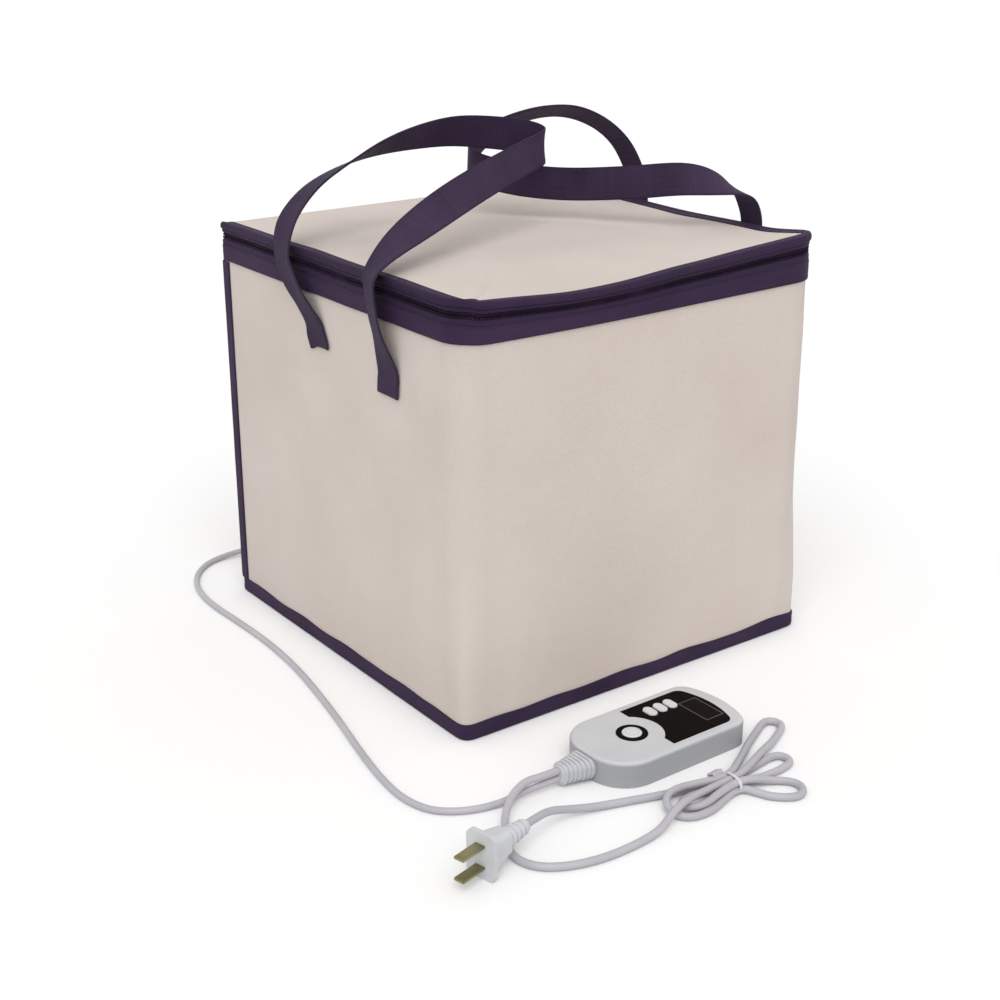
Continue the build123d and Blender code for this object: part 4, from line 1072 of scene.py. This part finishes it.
def seen_directly(tree):
    """1 for the camera's own rays, also through glass and in a mirror, and 0 for light that is passed on."""
    seen = tree.nodes.new("ShaderNodeLightPath").outputs
    looks = work(tree, "MAXIMUM", seen["Is Camera Ray"], seen["Is Glossy Ray"])
    return work(tree, "MAXIMUM", looks, seen["Is Transmission Ray"])


def new_effect(name, numbers, results):
    effect = bpy.data.node_groups.new(name, "ShaderNodeTree")
    effect.interface.new_socket("Place", in_out="INPUT", socket_type="NodeSocketVector")
    for label, value in numbers.items():
        effect.interface.new_socket(label, in_out="INPUT", socket_type="NodeSocketFloat").default_value = value
    for label in results:
        effect.interface.new_socket(label, in_out="OUTPUT", socket_type="NodeSocketFloat")
    return effect, effect.nodes.new("NodeGroupInput").outputs, effect.nodes.new("NodeGroupOutput").inputs


def use(tree, effect, place, **numbers):
    node = tree.nodes.new("ShaderNodeGroup")
    node.node_tree = effect
    feed(tree, node.inputs["Place"], place)
    for label, value in numbers.items():
        node.inputs[label.replace("_", " ")].default_value = value
    return node.outputs


# %% Weave effect: threads pass over and under by turns, and each thread has its own tone
weave, given, result = new_effect("plain weave", {"Threads": 900.0}, ["Height", "Tone"])
split = axes(weave, given["Place"])
warp, weft = (work(weave, "MULTIPLY", split[axis], given["Threads"]) for axis in (0, 1))
over = work(weave, "FLOORED_MODULO", work(weave, "ADD", work(weave, "FLOOR", warp), work(weave, "FLOOR", weft)), 2.0)
ridges = [
    work(weave, "ABSOLUTE", work(weave, "SINE", work(weave, "MULTIPLY", thread, math.pi))) for thread in (warp, weft)
]
feed(weave, result["Height"], work(
    weave, "ADD", work(weave, "MULTIPLY", ridges[0], over),
    work(weave, "MULTIPLY", ridges[1], work(weave, "SUBTRACT", 1.0, over)),
))
streaks = [
    noise_at(weave, stretch(weave, given["Place"], scale), 1.0, 1.0) for scale in ((18, 700, 18), (700, 18, 18))
]
feed(weave, result["Tone"], work(weave, "MULTIPLY", work(weave, "ADD", *streaks), 0.5))

# %% Cloudiness effect: broad soft patches, as cloth has where it was handled and folded
cloud, given, result = new_effect("cloudiness", {"Scale": 9.0}, ["Patches", "Specks"])
feed(cloud, result["Patches"], steer(cloud, noise_at(cloud, given["Place"], given["Scale"], 3.0), 0.3, 0.7))
feed(cloud, result["Specks"], steer(cloud, noise_at(cloud, given["Place"], 900.0, 2.0), 0.35, 0.7))

# %% Sewing effect: two rows of stitches at chosen places across a strip
sewing, given, result = new_effect("sewn rows", {"First": 0.0015, "Second": 0.0205, "Step": 0.003}, ["Thread", "Dip"])
split = axes(sewing, given["Place"])
beat = work(sewing, "FRACT", work(sewing, "DIVIDE", split[0], given["Step"]))
stitch = work(sewing, "COMPARE", beat, 0.4, 0.3)
nearest = work(sewing, "MINIMUM", *[
    work(sewing, "ABSOLUTE", work(sewing, "SUBTRACT", split[1], given[label])) for label in ("First", "Second")
])
feed(sewing, result["Thread"], work(sewing, "MULTIPLY", stitch, work(sewing, "LESS_THAN", nearest, 0.00032)))
feed(sewing, result["Dip"], steer(sewing, nearest, 0.0, 0.0009))

# %% Skin effect: the fine unevenness of moulded plastic, and faint rubbed places
skin, given, result = new_effect("moulded skin", {"Grain": 2500.0}, ["Height", "Rubbed"])
feed(skin, result["Height"], noise_at(skin, given["Place"], given["Grain"], 2.0))
feed(skin, result["Rubbed"], steer(skin, noise_at(skin, given["Place"], 60.0, 4.0), 0.52, 0.75))
print("effects", [effect.name for effect in (weave, cloud, sewing, skin)])


# %% Starting and giving a finish
def new_finish(name, roughness, **fixed):
    finish = bpy.data.materials.new(name)
    finish.use_nodes = True
    shader = finish.node_tree.nodes["Principled BSDF"]
    shader.inputs["Roughness"].default_value = roughness
    for socket, value in fixed.items():
        shader.inputs[socket.replace("_", " ")].default_value = value
    return finish, finish.node_tree, shader.inputs


def own(tree, kind="Object"):
    """Where a point is on its piece: in space, or in the flat map as UV."""
    return tree.nodes.new("ShaderNodeTexCoord").outputs[kind]


def raise_surface(tree, shader, height, distance, strength=1.0):
    node = tree.nodes.new("ShaderNodeBump")
    node.inputs["Distance"].default_value, node.inputs["Strength"].default_value = distance, strength
    tree.links.new(height, node.inputs["Height"])
    tree.links.new(node.outputs["Normal"], shader["Normal"])


def give(finish, *pieces):
    for piece in pieces:
        if isinstance(piece, str):
            for place in nodes[piece].material_slots:
                place.material = finish
        else:
            piece.data.materials.clear()
            piece.data.materials.append(finish)


# %% Cream cloth
cream, tree, shader = new_finish("cream cloth", 0.85, Sheen_Weight=0.15, Sheen_Roughness=0.5, Specular_IOR_Level=0.3)
chart, spot = own(tree, "UV"), own(tree)
threads, patches = use(tree, weave, chart, Threads=1100.0), use(tree, cloud, spot, Scale=11.0)
shade = blend_of(tree, patches["Patches"], threads["Tone"], 0.6)
vary(tree, shader["Base Color"], shade, "D4C6BD", "E1D6CE")
vary(tree, shader["Roughness"], patches["Specks"], 0.78, 0.92)
raise_surface(tree, shader, threads["Height"], 0.00012)
give(cream, wall_panel, rear_panel, underside, lid_pad)


# %% Dark tape, with rows of sewing where each strip has them
def give_tape(name, first, second, *pieces, low="281C32", high="4A3A55", thread_count=1300.0):
    """Dark woven tape for the pieces; first and second are its rows of sewing, in metres from its edge."""
    tape, tree, shader = new_finish(name, 0.7, Sheen_Weight=0.02, Sheen_Roughness=0.4, Specular_IOR_Level=0.12)
    chart, spot = own(tree, "UV"), own(tree)
    threads, patches = use(tree, weave, chart, Threads=thread_count), use(tree, cloud, spot, Scale=15.0)
    seam = use(tree, sewing, chart, First=first, Second=second)
    shade = blend_of(tree, patches["Patches"], threads["Tone"], 0.55)
    cloth = between(tree, shade, low, high)
    vary(tree, shader["Base Color"], seam["Thread"], cloth, "3A2A44")
    vary(tree, shader["Roughness"], patches["Specks"], 0.6, 0.8)
    relief = work(tree, "ADD", work(tree, "MULTIPLY", threads["Height"], 0.3), work(
        tree, "ADD", work(tree, "MULTIPLY", seam["Dip"], 1.2), work(tree, "MULTIPLY", seam["Thread"], 1.1)))
    raise_surface(tree, shader, relief, 0.0003)
    give(tape, *pieces)


unsewn = 0.5  # far past the edge of any tape, so that the row isn't there
give_tape("strap webbing", 0.0018, 0.0202, left_strap, right_strap)
give_tape("binding tape", 0.0024, 0.0098, foot_binding, low="281B33", high="44334F")
give_tape("corner tape", 0.0020, 0.0176, *corner_bindings)
give_tape("rim webbing", 0.0022, 0.0098, rim_tape, low="2A1D35", high="44314F")
give_tape("zip tape", 0.0012, unsewn, lower_tape, upper_tape, low="261A30", high="3D2B48", thread_count=1700.0)
give_tape("piping cloth", unsewn, unsewn, piping, low="271B31", high="3E2C49")
give_tape("hinge webbing", 0.0020, 0.0220, hinge_cloth)

# %% Zip teeth and zip metal
tooth_finish, tree, shader = new_finish("dark nylon", 0.6, Specular_IOR_Level=0.15)
spot = own(tree)
marks = use(tree, skin, spot, Grain=1800.0)
vary(tree, shader["Base Color"], marks["Rubbed"], "211628", "34243E")
raise_surface(tree, shader, marks["Height"], 0.00005)
give(tooth_finish, lower_teeth, upper_teeth)
zip_metal, tree, shader = new_finish("dark nickel", 0.3, Metallic=1.0)
marks = use(tree, skin, own(tree), Grain=900.0)
vary(tree, shader["Base Color"], marks["Rubbed"], "5A555E", "8E8A92")
vary(tree, shader["Roughness"], marks["Height"], 0.22, 0.42)
raise_surface(tree, shader, marks["Height"], 0.00003)
give(zip_metal, "zip_slider", "zip_pull")

# %% Silvery film
film, tree, shader = new_finish("silvery film", 0.35, Metallic=0.7, Specular_IOR_Level=0.6)
spot = own(tree)
patches = use(tree, cloud, spot, Scale=55.0)
dents = noise_at(tree, spot, 190.0, 3.0)
vary(tree, shader["Base Color"], patches["Patches"], "CDD0D3", "E2E4E6")
vary(tree, shader["Roughness"], dents, 0.26, 0.5)
raise_surface(tree, shader, dents, 0.0012, 0.7)
give(film, inner_lining, floor_lining, lid_film, "heater_foil")
print("cloth finishes done")

# %% [markdown]
# ## Hard finishes
# Moulded plastic is never one even colour: its skin has a fine grain, and places that a hand rubs turn a little
# glossier. Each part of the controller gets its own shade, and the parts inside it and under the floor lining get
# the looks of their real materials too, since a reader may take the lid or the shell off.

# %% Plastics
def give_plastic(name, low, high, rough_low, rough_high, *pieces, grain=2500.0, depth=0.00004, sides=None, **fixed):
    """A moulded plastic for the pieces, by its two tones and how rough it is rubbed and unrubbed; sides is a darker
    tone painted on its upright faces, a painted shade that stands in for the shade there under a light from above."""
    plastic, tree, shader = new_finish(name, rough_low, **fixed)
    spot = own(tree)
    marks, patches = use(tree, skin, spot, Grain=grain), use(tree, cloud, spot, Scale=30.0)
    colour = between(tree, patches["Patches"], low, high)
    if sides:
        # painted shade: faces that stand upright, found by their normal, get the darker sides tone, as if lit from
        # above
        painted_side_shade = steer(tree, work(tree, "ABSOLUTE", axes(tree, own(tree, "Normal"))[2]), 0.25, 0.8)
        colour = between(tree, painted_side_shade, sides, colour)
    feed(tree, shader["Base Color"], colour)
    vary(tree, shader["Roughness"], marks["Rubbed"], rough_high, rough_low)
    raise_surface(tree, shader, marks["Height"], depth)
    give(plastic, *pieces)


# the shell's upright sides are painted darker than its top, as painted shade from a light above
give_plastic("pale shell", "C4C5C8", "CFD0D3", 0.36, 0.5, "controller_top", "controller_bottom", sides="A5A6A9")
give_plastic("relief rubber", "C2C3C9", "D0D1D6", 0.42, 0.6, "controller_relief")
give_plastic("button grey", "CFD1D2", "DDDEDF", 0.32, 0.45, *[
    key + "_button" for key in ("power", "lower", "raise", "timer")
])
give_plastic("window line", "6B625D", "7F7670", 0.4, 0.5, window_border)
give_plastic("black panel", "070404", "0E0908", 0.24, 0.36, "controller_fascia", "power_ring",
             depth=0.00001, Specular_IOR_Level=0.025)
give_plastic("window", "0C0605", "130B09", 0.12, 0.2, "display_window", depth=0.000005, Specular_IOR_Level=0.03)
give_plastic("lead skin", "B1AFB5", "BEBCC2", 0.34, 0.5, heater_lead, mains_lead, grain=1400.0)
give_plastic("tie white", "D2CDD5", "E0DBE2", 0.3, 0.45, cord_tie)
give_plastic("tie head", "B6B3BC", "C4C1CA", 0.35, 0.5, tie_end)
give_plastic("plug white", "C8CACF", "D6D8DC", 0.3, 0.44, "plug_body", "plug_relief")
give_plastic("gland grey", "C9CACF", "D6D7DB", 0.4, 0.55, "cord_gland", "mat_terminal_block")
give_plastic("module grey", "2B2D30", "3A3D40", 0.4, 0.55, "display_module", "thermal_cutoff")


# %% Metals, board and wires
def give_metal(name, low, high, rough_low, rough_high, brushed, *pieces):
    """A metal for the pieces; brushed is how many fine lines it has along each axis."""
    metal, tree, shader = new_finish(name, rough_low, Metallic=1.0)
    spot = own(tree)
    lines = noise_at(tree, stretch(tree, spot, brushed), 1.0, 2.0)
    marks = use(tree, skin, spot, Grain=1200.0)
    vary(tree, shader["Base Color"], marks["Rubbed"], low, high)
    vary(tree, shader["Roughness"], lines, rough_low, rough_high)
    raise_surface(tree, shader, lines, 0.00002)
    give(metal, *pieces)


give_metal("plug brass", "87845F", "A3A07B", 0.3, 0.5, (260, 900, 2600), "plug_blades")
give_metal("screw steel", "8C8F93", "B2B5B8", 0.25, 0.45, (1500, 1500, 300), "case_screws", "temperature_probe")
give_plastic("circuit green", "14432A", "1E5A38", 0.35, 0.5, "circuit_board", grain=700.0)
give_plastic("component dark", "1B2A52", "25366A", 0.4, 0.6, "board_components", "button_switches", grain=900.0)
give_plastic("wire red-brown", "7A3B2C", "92503D", 0.45, 0.6, "heating_wire")
give_plastic("foam", "E9E7E0", "F4F2EC", 0.85, 0.95, "base_foam", *boards, grain=420.0, depth=0.0004)
give_plastic("felt", "8D8A88", "A5A2A0", 0.9, 0.98, "heater_felt", grain=700.0, depth=0.0004)
give_plastic("stiff board", "8E7656", "A88F6C", 0.75, 0.9, "base_board", grain=600.0, depth=0.0001)
print("finishes", len(bpy.data.materials))

# %% [markdown]
# ## Floor and light
# The table is one pale plane, far larger than the view. The light is a plain studio: an even sky from all sides
# and one large soft sun high up behind the camera, at a level where a colour renders about as it was written.

# %% Floor
drop_selection()
bpy.ops.mesh.primitive_plane_add(size=60, location=(0, 0, -0.0001))
table = bpy.context.object
table.name = "table"
paper = bpy.data.materials.new("paper")
paper.use_nodes = True
tree = paper.node_tree
shader = tree.nodes["Principled BSDF"].inputs
shader["Roughness"].default_value, shader["Specular IOR Level"].default_value = 0.9, 0.0
vary(tree, shader["Base Color"], seen_directly(tree), (0.8, 0.8, 0.8, 1), (1.0, 1.0, 1.0, 1))
table.data.materials.append(paper)

# %% Sky and sun
world = bpy.data.worlds.new("studio")
bpy.context.scene.world = world
world.use_nodes = True
tree = world.node_tree
sky = tree.nodes["Background"].inputs
sky["Color"].default_value = (1, 1, 1, 1)
vary(tree, sky["Strength"], seen_directly(tree), 0.72, 1.0)
drop_selection()
bpy.ops.object.light_add(type="SUN")
sun = bpy.context.object
sun.name = "sun"
sun.data.energy, sun.data.angle = 1.25, math.radians(50)
sun.rotation_mode = "QUATERNION"
sun.rotation_quaternion = Vector((-0.38, -0.5, 0.78)).to_track_quat("Z", "Y")

bpy.context.scene.view_settings.view_transform = "Standard"

# %% Closing
drop_selection()
